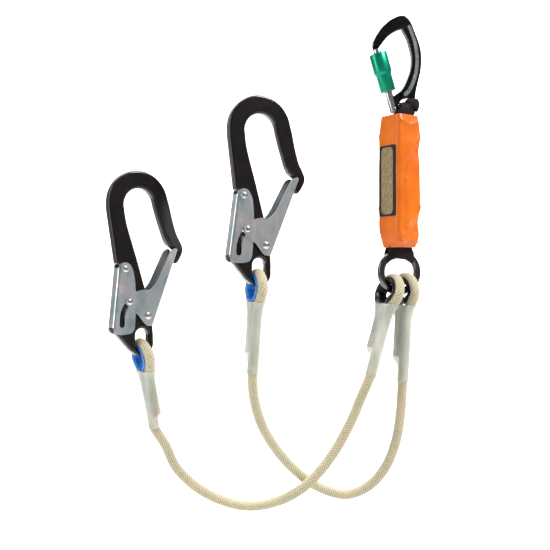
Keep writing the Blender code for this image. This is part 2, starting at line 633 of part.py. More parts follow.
def hook_gate(side, parent):
    """A folded channel: two side plates joined by a web along the outer edge."""
    shoulder = smooth([(-21.2, 60.4), (-12.7, 66.5), (-1.2, 69.5), (10.4, 70.2), (16.1, 76.1)], 2)
    tip = [(20.9, 84.8), (27.7, 98.7), (37.3, 117.9), (42.0, 122.6), (46.6, 123.2), (50.0, 119.8)]
    foot = [(14.0, 26.4), (11.6, 23.0), (7.0, 22.6), (2.2, 24.6), (-2.2, 29.2)]
    corner = [(-8.0, 36.6), (-22.4, 48.6), *arc(*LATCH_PIN, 5.2, 236, 112, 4)]
    outline = [*corner, *shoulder, *tip, (gate_edge(112), 112), (gate_edge(28), 28), *foot]
    stock = plate_mesh("gate", [outline], 2 * FLANGE_OUT, edge=0.5, edge_steps=0)
    web = 1.7
    hollow = [(-40, 0), (60, 0), (60, 32.6), (gate_edge(32.6, web), 32.6), (gate_edge(113, web), 113),
              (80, 113), (80, 140), (-40, 140)]
    mesh = cut(stock, plate_mesh("hollow", [hollow], 2 * FLANGE_IN),
               drill("pivot_hole", *GATE_PIVOT, HOLE_R, -14, 14),
               drill("pin_hole", *LATCH_PIN, HOLE_R, -14, 14))
    finish(f"{side}_hook_gate", mesh, parent, "zinc_plate", (GATE_PIVOT[0], 0, GATE_PIVOT[1]))


def lever_back(z, inset=0.0):
    """X of the lever's back face at height z."""
    return -34.0 - (99.0 - z) * 0.102 + inset


def hook_lever(side, parent):
    """A folded channel round the spine's back, with a curved slot in each side for the latch pin."""
    top = arc(LEVER_PIVOT[0] + 0.6, LEVER_PIVOT[1] - 0.6, 8.6, 158, 20, 6)
    right = [(-13.6, 92.0), (-11.4, 76.0), (-11.0, 50.0), (-11.8, 24.0), (-13.4, 17.6), (-17.2, 13.8)]
    bottom = [(-28.1, 12.0), (-34.6, 12.6), (-39.6, 15.6), (lever_back(21.5), 21.5)]
    outline = [*top, *right, *bottom, (lever_back(98), 98)]
    stock = plate_mesh("lever", [outline], 2 * LEVER_OUT, edge=0.5, edge_steps=0)
    hollow = [(lever_back(21.5, 1.6), 21.5), (-60, 21.5), (-60, 0), (20, 0), (20, 120), (-60, 120), (-60, 97.5),
              (lever_back(97.5, 1.6), 97.5)]
    slot = smooth([LATCH_PIN, (-23.8, 49.3), (-26.9, 44.0), (-29.2, 36.2), (-29.8, 24.6)], 3)
    mesh = cut(stock, plate_mesh("hollow", [hollow], 2 * LEVER_IN),
               plate_mesh("pin_slot", [swept_slot(slot, RIVET_R + 0.6)], 30),
               drill("pivot_hole", *LEVER_PIVOT, HOLE_R, -14, 14))
    finish(f"{side}_hook_lever", mesh, parent, "zinc_plate", (LEVER_PIVOT[0], 0, LEVER_PIVOT[1]))


def hook_pins(side, parent):
    """Rivets and springs. The latch pin rides with the gate; the two pivots stay in the body."""
    rivets = (("gate_rivet", GATE_PIVOT, FLANGE_OUT, 4.5, 1.9, GATE_PIVOT),
              ("lever_rivet", LEVER_PIVOT, LEVER_OUT, 4.2, 1.4, LEVER_PIVOT),
              ("latch_pin", LATCH_PIN, FLANGE_OUT, 3.9, 1.6, GATE_PIVOT))
    for name, (x, z), plates, head_r, head_h, (ox, oz) in rivets:
        pin = turned_mesh(name, pin_profile(2 * (plates + GAP), RIVET_R, head_r, head_h), 12)
        finish(f"{side}_{name}", along_y(pin, x, z), parent, "zinc_plate", (ox, 0, oz))
    springs = (("gate_spring", GATE_PIVOT, 4.9), ("lever_spring", LEVER_PIVOT, 4.3))
    turns, per_turn = 2, 10
    for name, (x, z), coil_r in springs:
        points = []
        for i in range(int(turns * per_turn) + 1):
            a = 2 * math.pi * i / per_turn
            points.append((x + coil_r * math.cos(a), -6.6 + 2.8 * i / (turns * per_turn), z + coil_r * math.sin(a)))
        finish(f"{side}_{name}", tube_mesh(name, points, 0.5, 0), parent, "spring_steel", (x, 0, z))


def build():
    carabiner = frame("carabiner_frame", (0, 0, 0), CARABINER_YAW)
    carabiner_body(carabiner)
    carabiner_gate(carabiner)
    carabiner_small_parts(carabiner)

    pack = frame("pack_frame", (PACK_X, 0, 0), PACK_YAW)
    tear_webbing(pack)
    absorber_cover(pack)
    cover_label(pack)

    ring = frame("ring_frame", RING_CENTRE, RING_YAW)
    attachment_ring(ring)
    webbing_loops(carabiner, ring)
    bpy.context.view_layer.update()

    for side, leg in LEGS.items():
        hook = frame(f"{side}_hook_frame", leg["hook"], leg["hook_yaw"], leg["hook_tilt"])
        hook_body(side, hook)
        hook_gate(side, hook)
        hook_lever(side, hook)
        hook_pins(side, hook)
        build_leg(side, leg, hook, ring)


for old in list(bpy.data.objects):
    bpy.data.objects.remove(old)
PARTS = collection("shock_absorbing_lanyard")
CUTTERS = collection("cutters", hidden=True)
build()
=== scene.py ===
"""Studio view of the shock absorbing lanyard. The camera, lights and stage are placed in metres in the row
frame. The shapes are drawn in millimetres in each unit's own plane and scaled when they are added."""

from math import atan2, copysign, cos, degrees, exp, floor as round_down, hypot, pi, radians, sin, sqrt

import bmesh
import bpy
from mathutils import Euler, Matrix, Vector


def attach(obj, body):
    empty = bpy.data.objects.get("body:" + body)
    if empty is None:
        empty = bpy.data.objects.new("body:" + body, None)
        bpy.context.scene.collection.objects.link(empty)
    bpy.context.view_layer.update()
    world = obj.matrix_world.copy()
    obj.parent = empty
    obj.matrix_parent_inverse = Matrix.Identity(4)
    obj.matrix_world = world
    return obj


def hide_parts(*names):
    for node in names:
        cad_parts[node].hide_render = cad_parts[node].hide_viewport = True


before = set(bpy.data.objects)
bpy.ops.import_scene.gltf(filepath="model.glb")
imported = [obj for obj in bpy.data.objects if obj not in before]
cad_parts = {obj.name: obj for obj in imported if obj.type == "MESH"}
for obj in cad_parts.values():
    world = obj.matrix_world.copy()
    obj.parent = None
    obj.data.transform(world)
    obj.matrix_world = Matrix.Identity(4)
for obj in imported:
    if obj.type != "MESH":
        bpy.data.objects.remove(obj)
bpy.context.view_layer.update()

MM = 0.001
ROPE_D = 12.6
BRAID_R = ROPE_D / 2 + 0.45  # over the crests, so that crests and furrows average ROPE_D
PAIR = ROPE_D / 2 + 0.35  # half the spacing of the doubled rope
THIMBLE_R, THIMBLE_T, GAP = 13.6, 1.4, 0.3
EYE_BEND = THIMBLE_R + THIMBLE_T + ROPE_D / 2 + GAP
# One side of an eye, from the end of its arch down to where the rope lies doubled: (across, up)
EYE_SIDE = [(EYE_BEND, 0), (18.7, -7.5), (12.4, -16), (8.4, -25), (PAIR + 0.1, -35), (PAIR, -45)]
SLEEVE_TOP, SLEEVE_BORE, SLEEVE_SKIN = 14.5, 0.6, 1.5  # how far down it starts; bore and skin past the rope
RING_EYE_SPREAD = 0.22  # how much wider the thimbles at the ring are
RING_CENTRE, RING_YAW = (-2.5, 0.0, -315.0), 15
# Angles are in degrees. A route is the rope's free run from the hook's sleeve to the ring's sleeve.
LEGS = {
    "left": {
        "hook": (-338.9, 0.0, -407.0), "hook_yaw": 34, "hook_tilt": 0.0,
        "hook_eye": {"yaw": 31, "lean": 11.5, "tail": -1, "doubled": 74, "sleeve": 94},
        "ring_eye": {"yaw": 27, "lean": -17.7, "tail": 1, "doubled": 73, "sleeve": 108},
        "ring_seat": (-8.2, -7.9),
        "route": [(-307, 9, -542), (-293, 4, -569), (-269, 1, -592), (-240, -2, -608), (-204, -5, -617),
                  (-169, -8, -613), (-136, -11, -598), (-109, -13, -574), (-86, -14, -543), (-67, -15, -508),
                  (-54, -16, -477)],
    },
    "right": {
        "hook": (-185.9, -38.0, -316.7), "hook_yaw": 24, "hook_tilt": 2.0,
        "hook_eye": {"yaw": 22, "lean": -4.2, "tail": 1, "doubled": 79, "sleeve": 104},
        "ring_eye": {"yaw": 27, "lean": -4.0, "tail": 1, "doubled": 83, "sleeve": 113},
        "ring_seat": (9.2, -6.4),
        "route": [(-190, -37, -474), (-181, -30, -507), (-164, -18, -539), (-141, -5, -568), (-111, 5, -593),
                  (-73, 9, -606), (-42, 8, -595), (-20, 5, -570), (-7, 2, -537), (-1, -2, -500)],
    },
}
GATE_PIVOT = (5.55, 35.5)
LEVER_PIVOT = (-24.9, 96.1)
LATCH_PIN = (-20.0, 54.0)
RIVET_R = 2.8
BORE_R = RIVET_R + 0.3
GATE_SLOPE, LEVER_SLOPE = 0.3635, 0.102  # of their straight outer edges
HOOK_T, EYE_R, EYE_RISE = 14.0, 9.1, 10.4
LEVER_IN, LEVER_OUT = 8.0, 9.6
FLANGE_IN, FLANGE_OUT = 10.0, 11.6
CAMERA_AT, LENS, FLOOR_Z = (-0.1638, -1.15, -0.3185), 57.9, -1.05


def clamp(value):
    return max(0.0, min(1.0, value))


def placed(name, data):
    """A new object, linked to the scene."""
    made = bpy.data.objects.new(name, data)
    bpy.context.scene.collection.objects.link(made)
    return made


# ---------------- camera, light and stage

def make_camera():
    data = bpy.data.cameras.new("camera")
    data.sensor_width = 36
    data.lens = LENS
    data.clip_end = 50
    camera = placed("camera", data)
    camera.location = CAMERA_AT
    camera.rotation_euler = (pi / 2, 0, 0)
    bpy.context.scene.camera = camera


def area_light(name, place, target, size, power):
    data = bpy.data.lights.new(name, "AREA")
    data.shape = "RECTANGLE"
    data.size, data.size_y = size
    data.energy = power
    light = placed(name, data)
    light.location = place
    light.rotation_euler = (Vector(target) - Vector(place)).to_track_quat("-Z", "Y").to_euler()


def make_stage():
    """A pale floor well below the hanging lanyard, curved up into a far back wall."""
    profile = [(-3.0, FLOOR_Z), (3.2, FLOOR_Z)]
    profile += [(3.2 + 0.9 * sin(radians(a)), -0.15 - 0.9 * cos(radians(a))) for a in range(10, 91, 10)]
    profile.append((4.1, 5.0))
    made = bmesh.new()
    rows = [[made.verts.new((x, y, z)) for x in (-6.0, 6.0)] for y, z in profile]
    for low, high in zip(rows, rows[1:]):
        made.faces.new((low[0], low[1], high[1], high[0]))
    mesh = bpy.data.meshes.new("floor")
    made.to_mesh(mesh)
    made.free()
    mesh.shade_smooth()
    floor = placed("floor", mesh)
    shader_of("floor", (0.93, 0.93, 0.93), 0.9)
    floor.data.materials.append(MATERIALS["floor"])
    world = bpy.data.worlds.new("world")
    bpy.context.scene.world = world
    world.use_nodes = True
    sky = world.node_tree.nodes["Background"].inputs
    sky["Color"].default_value = (1, 1, 1, 1)
    sky["Strength"].default_value = 0.22
    bpy.context.scene.view_settings.view_transform = "Standard"
    area_light("key", (1.35, -0.8, 1.5), (-0.15, 0, -0.3), (0.7, 0.7), 60)
    area_light("left_strip", (-1.5, -0.45, 0.0), (-0.2, 0, -0.3), (0.2, 1.4), 10)
    area_light("top", (-0.3, 0.1, 1.3), (-0.15, 0, -0.3), (1.0, 0.5), 12)
    area_light("wall", (-0.2, 2.0, 1.2), (-0.2, 4.1, -0.2), (4.0, 1.6), 150)
    area_light("ground", (-0.2, 0.9, 1.6), (-0.2, 1.6, FLOOR_Z), (3.0, 1.6), 60)


# ---------------- materials

MATERIALS = {}


def shader_of(name, colour, roughness, metallic=0.0, **sockets):
    made = bpy.data.materials.new(name)
    made.use_nodes = True
    shader = made.node_tree.nodes["Principled BSDF"]
    shader.inputs["Base Color"].default_value = (*colour, 1)
    shader.inputs["Roughness"].default_value = roughness
    shader.inputs["Metallic"].default_value = metallic
    for key, value in sockets.items():
        shader.inputs[key.replace("_", " ")].default_value = value
    MATERIALS[name] = made
    return made.node_tree, shader


def shade(colour, factor):
    return tuple(min(1, c * factor) for c in colour)


def node(tree, kind, **values):
    made = tree.nodes.new(kind)
    for key, value in values.items():
        if key in made.bl_rna.properties:
            setattr(made, key, value)
        else:
            made.inputs[key.replace("_", " ")].default_value = value
    return made


def coords(tree, scale=(1, 1, 1)):
    where = tree.nodes.new("ShaderNodeTexCoord")
    mapping = tree.nodes.new("ShaderNodeMapping")
    mapping.inputs["Scale"].default_value = scale
    tree.links.new(where.outputs["Object"], mapping.inputs["Vector"])
    return mapping.outputs["Vector"]


def noise(tree, scale, detail, stretch=(1, 1, 1)):
    made = node(tree, "ShaderNodeTexNoise", Scale=scale, Detail=detail)
    tree.links.new(coords(tree, stretch), made.inputs["Vector"])
    return made.outputs["Fac"]


def ramp(tree, value, *stops):
    made = tree.nodes.new("ShaderNodeValToRGB")
    while len(made.color_ramp.elements) < len(stops):
        made.color_ramp.elements.new(0.5)
    for element, (place, colour) in zip(made.color_ramp.elements, stops):
        element.position = place
        element.color = (*colour, 1)
    tree.links.new(value, made.inputs["Fac"])
    return made.outputs["Color"]


def remap(tree, value, low, high):
    made = node(tree, "ShaderNodeMapRange", To_Min=low, To_Max=high)
    tree.links.new(value, made.inputs["Value"])
    return made.outputs["Result"]


def tint(tree, shader, value, *stops):
    tree.links.new(ramp(tree, value, *stops), shader.inputs["Base Color"])


def roughen(tree, shader, value, low, high):
    tree.links.new(remap(tree, value, low, high), shader.inputs["Roughness"])


def bump(tree, shader, value, strength, distance, normal=None):
    made = node(tree, "ShaderNodeBump", Strength=strength, Distance=distance)
    tree.links.new(value, made.inputs["Height"])
    if normal:
        tree.links.new(normal, made.inputs["Normal"])
    tree.links.new(made.outputs["Normal"], shader.inputs["Normal"])
    return made.outputs["Normal"]


def enamel_material():
    """Gloss black coating over a forging: soft orange peel, and cloudy brown where it is thin."""
    tree, shader = shader_of("black_enamel", (0.005, 0.004, 0.004), 0.3, Coat_Weight=0.7,
                             Coat_Roughness=0.06, Specular_IOR_Level=0.25)
    tint(tree, shader, noise(tree, 28, 2), (0.35, (0.001, 0.001, 0.001)), (0.75, (0.011, 0.004, 0.0035)))
    roughen(tree, shader, noise(tree, 160, 3), 0.22, 0.40)
    bump(tree, shader, noise(tree, 420, 2), 0.12, 0.0004)


def zinc_material():
    """Bright zinc on folded sheet: rolling lines, cloudy tone from blue-grey to mauve, small scuffs."""
    tree, shader = shader_of("zinc_plate", (0.36, 0.41, 0.43), 0.36, 1.0)
    tint(tree, shader, noise(tree, 34, 5), (0.28, (0.38, 0.46, 0.48)), (0.46, (0.58, 0.64, 0.66)),
         (0.60, (0.66, 0.62, 0.63)), (0.76, (0.84, 0.88, 0.88)))
    roughen(tree, shader, noise(tree, 240, 4, (1, 1, 0.2)), 0.28, 0.50)
    first = bump(tree, shader, noise(tree, 900, 2, (1, 1, 0.08)), 0.10, 0.0003)
    bump(tree, shader, noise(tree, 120, 3), 0.22, 0.0008, first)


def metal_material(name, colour, roughness, scuff=0.1):
    tree, shader = shader_of(name, colour, roughness, 1.0)
    roughen(tree, shader, noise(tree, 180, 4), roughness - scuff, roughness + scuff)
    tint(tree, shader, noise(tree, 45, 3), (0.3, shade(colour, 0.8)), (0.7, shade(colour, 1.15)))
    bump(tree, shader, noise(tree, 700, 3, (1, 1, 0.15)), 0.08, 0.0003)


def anodised_material():
    tree, shader = shader_of("green_anodised", (0.0, 0.42, 0.24), 0.3, 0.85, Coat_Weight=0.3,
                             Coat_Roughness=0.15)
    tint(tree, shader, noise(tree, 60, 2), (0.3, (0.0, 0.27, 0.15)), (0.7, (0.004, 0.40, 0.23)))
    roughen(tree, shader, noise(tree, 300, 3), 0.32, 0.46)
    bump(tree, shader, noise(tree, 900, 2), 0.06, 0.0002)


def rope_material():
    """Cream polyester yarn: each strand is a bundle of fine fibres, with painted shade in the valleys between
    strands.
    """
    tree, shader = shader_of("cream_rope", (0.78, 0.70, 0.52), 0.82, Sheen_Weight=0.35,
                             Sheen_Roughness=0.5)
    # Colour by the braid's height: painted shade, dark in the valleys between strands and lighter on the
    # crests.
    height = node(tree, "ShaderNodeAttribute", attribute_name="height")
    painted_valley_shade = ramp(tree, height.outputs["Fac"], (0.0, (0.20, 0.17, 0.09)), (0.35, (0.46, 0.40, 0.25)),
                (0.7, (0.72, 0.65, 0.47)), (1.0, (0.86, 0.80, 0.63)))
    patch = ramp(tree, noise(tree, 35, 3), (0.35, (0.90, 0.92, 0.86)), (0.65, (1.0, 0.95, 0.88)))
    mix = node(tree, "ShaderNodeMix", data_type="RGBA", blend_type="MULTIPLY")
    mix.inputs[0].default_value = 1.0
    tree.links.new(painted_valley_shade, mix.inputs[6])
    tree.links.new(patch, mix.inputs[7])
    tree.links.new(mix.outputs[2], shader.inputs["Base Color"])
    bump(tree, shader, noise(tree, 2600, 2), 0.35, 0.0004)


def webbing_material():
    """Black woven strap: a fine rib with almost no shine."""
    colour = (0.009, 0.005, 0.007)
    tree, shader = shader_of("black_webbing", colour, 0.75, Sheen_Weight=0.04, Sheen_Roughness=0.4,
                             Specular_IOR_Level=0.3)
    weave = node(tree, "ShaderNodeTexWave", Scale=420.0, Distortion=1.2)
    tree.links.new(coords(tree, (1, 0.3, 1)), weave.inputs["Vector"])
    tint(tree, shader, weave.outputs["Fac"], (0.2, shade(colour, 0.6)), (0.9, shade(colour, 2.6)))
    bump(tree, shader, weave.outputs["Fac"], 0.5, 0.0005)


def vinyl_material():
    """Orange coated fabric: a fine weave under a satin skin, richer in the folds."""
    tree, shader = shader_of("orange_vinyl", (0.92, 0.18, 0.01), 0.42, Coat_Weight=0.22,
                             Coat_Roughness=0.22, Specular_IOR_Level=0.4)
    tint(tree, shader, noise(tree, 22, 3), (0.3, (0.76, 0.135, 0.003)), (0.7, (0.88, 0.205, 0.006)))
    roughen(tree, shader, noise(tree, 120, 3), 0.30, 0.46)
    weave = node(tree, "ShaderNodeTexChecker", Scale=1500.0)
    tree.links.new(coords(tree), weave.inputs["Vector"])
    first = bump(tree, shader, weave.outputs["Fac"], 0.06, 0.0002)
    bump(tree, shader, noise(tree, 260, 4), 0.25, 0.0006, first)


def plastic_material(name, colour, roughness=0.38):
    tree, shader = shader_of(name, colour, roughness)
    roughen(tree, shader, noise(tree, 260, 3), roughness - 0.1, roughness + 0.12)
    tint(tree, shader, noise(tree, 70, 2), (0.3, shade(colour, 0.7)), (0.7, colour))
    bump(tree, shader, noise(tree, 500, 2), 0.12, 0.0003)


def sleeve_material():
    """Clear flexible tube: milky, with cloudy streaks along it and a wet-looking gloss."""
    tree, shader = shader_of("clear_sleeve", (0.80, 0.83, 0.76), 0.3, Coat_Weight=0.2,
                             Coat_Roughness=0.12, Specular_IOR_Level=0.4)
    streaks = noise(tree, 60, 4, (1, 1, 0.2))
    tint(tree, shader, streaks, (0.3, (0.56, 0.62, 0.53)), (0.7, (0.95, 0.95, 0.87)))
    tree.links.new(remap(tree, streaks, 0.30, 0.55), shader.inputs["Alpha"])
    bump(tree, shader, noise(tree, 90, 3, (1, 1, 0.35)), 0.35, 0.0012)


def label_material():
    tree, shader = shader_of("label_tan", (0.42, 0.32, 0.17), 0.6)
    tint(tree, shader, noise(tree, 300, 4), (0.3, (0.20, 0.14, 0.06)), (0.7, (0.40, 0.29, 0.14)))
    bump(tree, shader, noise(tree, 1500, 2), 0.3, 0.0003)


def make_materials():
    enamel_material()
    zinc_material()
    metal_material("rivet_zinc", (0.72, 0.74, 0.74), 0.22)
    metal_material("carabiner_grey", (0.030, 0.034, 0.038), 0.26)
    # A pale copy of the carabiner metal: a painted reflection for the floor of the spine's groove.
    metal_material("carabiner_groove_painted_reflection", (0.62, 0.66, 0.68), 0.30, 0.12)
    metal_material("polished_steel", (0.66, 0.63, 0.60), 0.2)
    metal_material("spring_steel", (0.5, 0.5, 0.5), 0.3)
    metal_material("dark_steel", (0.17, 0.145, 0.155), 0.15, 0.05)
    anodised_material()
    rope_material()
    webbing_material()
    vinyl_material()
    label_material()
    plastic_material("label_black", (0.004, 0.003, 0.003), 0.7)
    plastic_material("blue_plastic", (0.004, 0.20, 0.70))
    plastic_material("black_plastic", (0.004, 0.004, 0.005))
    sleeve_material()
    plastic_material("tag_grey", (0.24, 0.34, 0.38), 0.6)
    plastic_material("whipping_red", (0.80, 0.07, 0.03), 0.7)


# ---------------- mesh helpers

def unit(origin, yaw, tilt=0.0):
    """The matrix of a unit: yaw turns it about Z, then tilt leans its top to its own right."""
    turn = Euler((0, 0, radians(yaw))).to_matrix() @ Euler((0, radians(tilt), 0)).to_matrix()
    return Matrix.Translation(Vector(origin)) @ turn.to_4x4()


def add(name, mesh, matrix, body, slot, replaces=(), material=None, sharp=35, flat=False):
    """Makes a piece from a mesh drawn in millimetres in its unit's axes. flat keeps flat faces flat."""
    mesh.transform(Matrix.Scale(MM, 4) @ matrix)
    mesh.shade_smooth()
    if sharp:
        mesh.set_sharp_from_angle(angle=radians(sharp))
    obj = placed(name, mesh)
    if not obj.data.materials:
        obj.data.materials.append(MATERIALS[material or slot])
    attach(obj, body)
    if replaces:
        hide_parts(*replaces)
    if flat:
        weighted = obj.modifiers.new("normals", "WEIGHTED_NORMAL")
        weighted.keep_sharp = True
        weighted.weight = 60
    return obj


def repaired(mesh, weld=0.0, dissolve=0.0, outwards=True):
    """The mesh with close points merged, slivers dissolved and its faces turned outwards, as asked."""
    tidy = bmesh.new()
    tidy.from_mesh(mesh)
    if weld:
        bmesh.ops.remove_doubles(tidy, verts=tidy.verts, dist=weld)
    if dissolve:
        bmesh.ops.dissolve_degenerate(tidy, dist=dissolve, edges=tidy.edges)
    if outwards:
        bmesh.ops.recalc_face_normals(tidy, faces=tidy.faces)
    tidy.to_mesh(mesh)
    tidy.free()
    return mesh


def evaluated(obj):
    graph = bpy.context.evaluated_depsgraph_get()
    mesh = bpy.data.meshes.new_from_object(obj.evaluated_get(graph))
    bpy.data.objects.remove(obj)
    return mesh


def arc(cx, cz, r, start, end, steps):
    turn = (end - start) / steps
    angles = [radians(start + turn * i) for i in range(steps + 1)]
    return [(cx + r * cos(a), cz + r * sin(a)) for a in angles]


def turn_angles(count):
    """Equally spaced angles over one turn."""
    return [2 * pi * i / count for i in range(count)]


def box_outline(x0, x1, z0, z1):
    return [(x0, z0), (x1, z0), (x1, z1), (x0, z1)]


def smooth(points, per_span=3):
    """A smooth line through points: Catmull-Rom, in any number of dimensions."""
    found = []
    ends = [points[0], *points, points[-1]]
    for before, a, b, after in zip(ends, ends[1:], ends[2:], ends[3:]):
        for i in range(per_span):
            t = i / per_span
            found.append(tuple(
                0.5 * (2 * p1 + (p2 - p0) * t + (2 * p0 - 5 * p1 + 4 * p2 - p3) * t * t
                       + (3 * p1 - p0 - 3 * p2 + p3) * t ** 3)
                for p0, p1, p2, p3 in zip(before, a, b, after)))
    return [*found, tuple(points[-1])]


def plate_mesh(outlines, thickness, edge=0.0, edge_steps=4, middle=0.0):
    """A flat piece in the XZ plane, centred on Y = middle: the first outline is its edge, the rest holes."""
    curve = bpy.data.curves.new("plate", "CURVE")
    curve.dimensions = "2D"
    curve.fill_mode = "BOTH"
    curve.extrude = thickness / 2 - edge
    curve.bevel_depth = edge
    curve.offset = -edge
    curve.bevel_resolution = edge_steps
    for outline in outlines:
        spline = curve.splines.new("POLY")
        spline.points.add(len(outline) - 1)
        for point, (x, z) in zip(spline.points, outline):
            point.co = (x, z, 0, 1)
        spline.use_cyclic_u = True
    obj = placed("plate", curve)
    mesh = repaired(evaluated(obj), weld=0.002)
    mesh.transform(Matrix.Translation((0, middle, 0)) @ Matrix.Rotation(pi / 2, 4, "X"))
    return mesh


def drill(x, z, r, low, high):
    return plate_mesh([arc(x, z, r, 0, 360, 32)[:-1]], high - low, middle=(low + high) / 2)


def cut(mesh, *tools, within=None):
    """The mesh, first kept within a solid if one is given, and then with every tool taken away from it."""
    obj = placed("stock", mesh)
    steps = [("INTERSECT", within)] if within else []
    steps += [("DIFFERENCE", tool) for tool in tools]
    cutters = []
    for i, (operation, tool) in enumerate(steps):
        cutter = placed(f"cutter_{i}", tool)
        modifier = obj.modifiers.new(f"cut_{i}", "BOOLEAN")
        modifier.operation = operation
        modifier.object = cutter
        cutters.append(cutter)
    result = evaluated(obj)
    for cutter in cutters:
        bpy.data.objects.remove(cutter)
    return repaired(result, weld=0.004, dissolve=0.002, outwards=False)


def softened(mesh, width):
    """The mesh with its sharp edges rounded a little, so that they catch the light."""
    obj = placed("soften", mesh)
    bevel = obj.modifiers.new("edges", "BEVEL")
    bevel.width = width
    bevel.segments = 2
    bevel.limit_method = "ANGLE"
    bevel.angle_limit = radians(35)
    bevel.use_clamp_overlap = True
    return evaluated(obj)


def finished(made, name):
    """A mesh from a bmesh, with its faces turned outwards."""
    bmesh.ops.recalc_face_normals(made, faces=made.faces)
    mesh = bpy.data.meshes.new(name)
    made.to_mesh(mesh)
    made.free()
    return mesh


def turned_mesh(profile, steps):
    """A profile of (radius, height) turned about Z. It is closed, or starts and ends on the axis."""
    made = bmesh.new()
    closed = profile[0][0] > 0
    rows = []
    for r, h in profile:
        if r <= 0:
            rows.append([made.verts.new((0, 0, h))])
        else:
            rows.append([made.verts.new((r * cos(a), r * sin(a), h)) for a in turn_angles(steps)])
    pairs = list(zip(rows, rows[1:])) + ([(rows[-1], rows[0])] if closed else [])
    for low, high in pairs:
        for i in range(steps):
            j = (i + 1) % steps
            corners = [low[i % len(low)], low[j % len(low)], high[j % len(high)], high[i % len(high)]]
            corners = [v for k, v in enumerate(corners) if v not in corners[:k]]
            if len(corners) > 2:
                made.faces.new(corners)
    return finished(made, "turned")


def loft_mesh(rings, hollow=None, loop=False):
    """A skin over rings of equally many points. With hollow, a second list of rings, it is an open shell, and
    with loop the last ring is the first."""
    made = bmesh.new()

    def skin(rows):
        count = len(rows[0])
        for low, high in zip(rows, rows[1:]):
            for i in range(count):
                j = (i + 1) % count
                made.faces.new((low[i], low[j], high[j], high[i]))

    outer = [[made.verts.new(p) for p in ring] for ring in (rings[:-1] if loop else rings)]
    skin([*outer, outer[0]] if loop else outer)
    if hollow:
        inner = [[made.verts.new(p) for p in ring] for ring in hollow]
        skin(inner)
        skin([outer[0], inner[0]])
        skin([outer[-1], inner[-1]])
    elif not loop:
        made.faces.new(outer[0])
        made.faces.new(outer[-1])
    return finished(made, "loft")


def swept_slot(points, r):
    """The outline of a slot of radius r that follows a line, drawn with round ends."""
    left, right = [], []
    for i, (x, z) in enumerate(points):
        ax, az = points[max(i - 1, 0)]
        bx, bz = points[min(i + 1, len(points) - 1)]
        size = hypot(bx - ax, bz - az)
        nx, nz = -(bz - az) / size, (bx - ax) / size
        left.append((x + nx * r, z + nz * r))
        right.append((x - nx * r, z - nz * r))
    heading = degrees(atan2(points[-1][1] - points[-2][1], points[-1][0] - points[-2][0]))
    start = degrees(atan2(points[1][1] - points[0][1], points[1][0] - points[0][0]))
    end_cap = arc(*points[-1], r, heading + 90, heading - 90, 10)[1:-1]
    start_cap = arc(*points[0], r, start - 90, start - 270, 10)[1:-1]
    return [*left, *end_cap, *reversed(right), *start_cap]


def along_y(mesh, x, z):
    mesh.transform(Matrix.Translation((x, 0, z)) @ Matrix.Rotation(-pi / 2, 4, "X"))
    return mesh


def resampled(line, step):
    """Points about step apart along a line of 3-D points, with the true spacing of the line."""
    points = [Vector(p) for p in line]
    far = [0.0]
    for a, b in zip(points, points[1:]):
        far.append(far[-1] + (b - a).length)
    count = max(2, round(far[-1] / step))
    found, j = [], 0
    for i in range(count + 1):
        at = far[-1] * i / count
        while j < len(points) - 2 and far[j + 1] < at:
            j += 1
        span = far[j + 1] - far[j]
        found.append(points[j].lerp(points[j + 1], (at - far[j]) / span if span else 0))
    return found, far[-1]


def braided_mesh(line):
    """A braided rope: strands wound both ways pass over and under each other round a smooth core."""
    around, step = 48, 0.6  # points around the rope, and how far apart the stations are
    strands, pitch, depth = 8, 3.4, 1.1
    points, _ = resampled(line, step)
    count = len(points)
    tangents = [(points[min(i + 1, count - 1)] - points[max(i - 1, 0)]).normalized() for i in range(count)]
    side = tangents[0].orthogonal().normalized()
    verts, heights, faces = [], [], []
    for i, (p, t) in enumerate(zip(points, tangents)):
        side = (side - t * side.dot(t)).normalized()
        other = t.cross(side)
        along = i * step / pitch
        for k in range(around):
            angle = 2 * pi * k / around
            turn = strands * k / around
            a, b = turn + along, turn - along
            over = (round_down(a) + round_down(b)) % 2 == 0
            ua, ub = a - round_down(a) - 0.5, b - round_down(b) - 0.5
            across, down = (ua, ub) if over else (ub, ua)
            h = max(0.0, cos(pi * across)) ** 0.6 * (0.5 + 0.5 * cos(pi * down))
            r = BRAID_R - depth + depth * h
            verts.append(p + side * (r * cos(angle)) + other * (r * sin(angle)))
            heights.append(h)
    for i in range(count - 1):
        for k in range(around):
            j = (k + 1) % around
            faces.append((i * around + k, i * around + j, (i + 1) * around + j, (i + 1) * around + k))
    for row in (0, count - 1):
        centre = len(verts)
        verts.append(points[row] + tangents[row] * (-step if row == 0 else step))
        heights.append(0.4)
        for k in range(around):
            faces.append((row * around + k, row * around + (k + 1) % around, centre))
    mesh = bpy.data.meshes.new("rope")
    mesh.from_pydata(verts, [], faces)
    attribute = mesh.attributes.new("height", "FLOAT", "POINT")
    attribute.data.foreach_set("value", heights)
    return repaired(mesh)


# ---------------- rope legs

def eye_matrix(leg, end):
    """The frame of an eye: its origin is the centre of the arch, Y runs across the eye and Z up it."""
    eye = leg[f"{end}_eye"]
    if end == "hook":
        seat = Vector(leg["hook"])
    else:
        seat = unit(RING_CENTRE, RING_YAW) @ Vector((leg["ring_seat"][0], 0, leg["ring_seat"][1]))
    lean = Matrix.Rotation(-radians(eye["lean"]), 4, "Y")
    return unit(seat, eye["yaw"]) @ lean @ Matrix.Translation((0, 0, -EYE_BEND))


def eye_line(tail, sleeve, doubled):
    """Rope centre line in the eye's plane from its cut tail round the arch into the sleeve's narrow end."""
    tail_side = [(tail * PAIR, 1 - doubled), *[(tail * u, v) for u, v in reversed(EYE_SIDE)]]
    arch = [(tail * u, v) for u, v in arc(0, 0, EYE_BEND, 0, 180, 12)[1:-1]]
    run_side = [(-tail * u, v) for u, v in EYE_SIDE]
    return [*tail_side, *arch, *run_side, (-tail * PAIR, 7 - sleeve)]


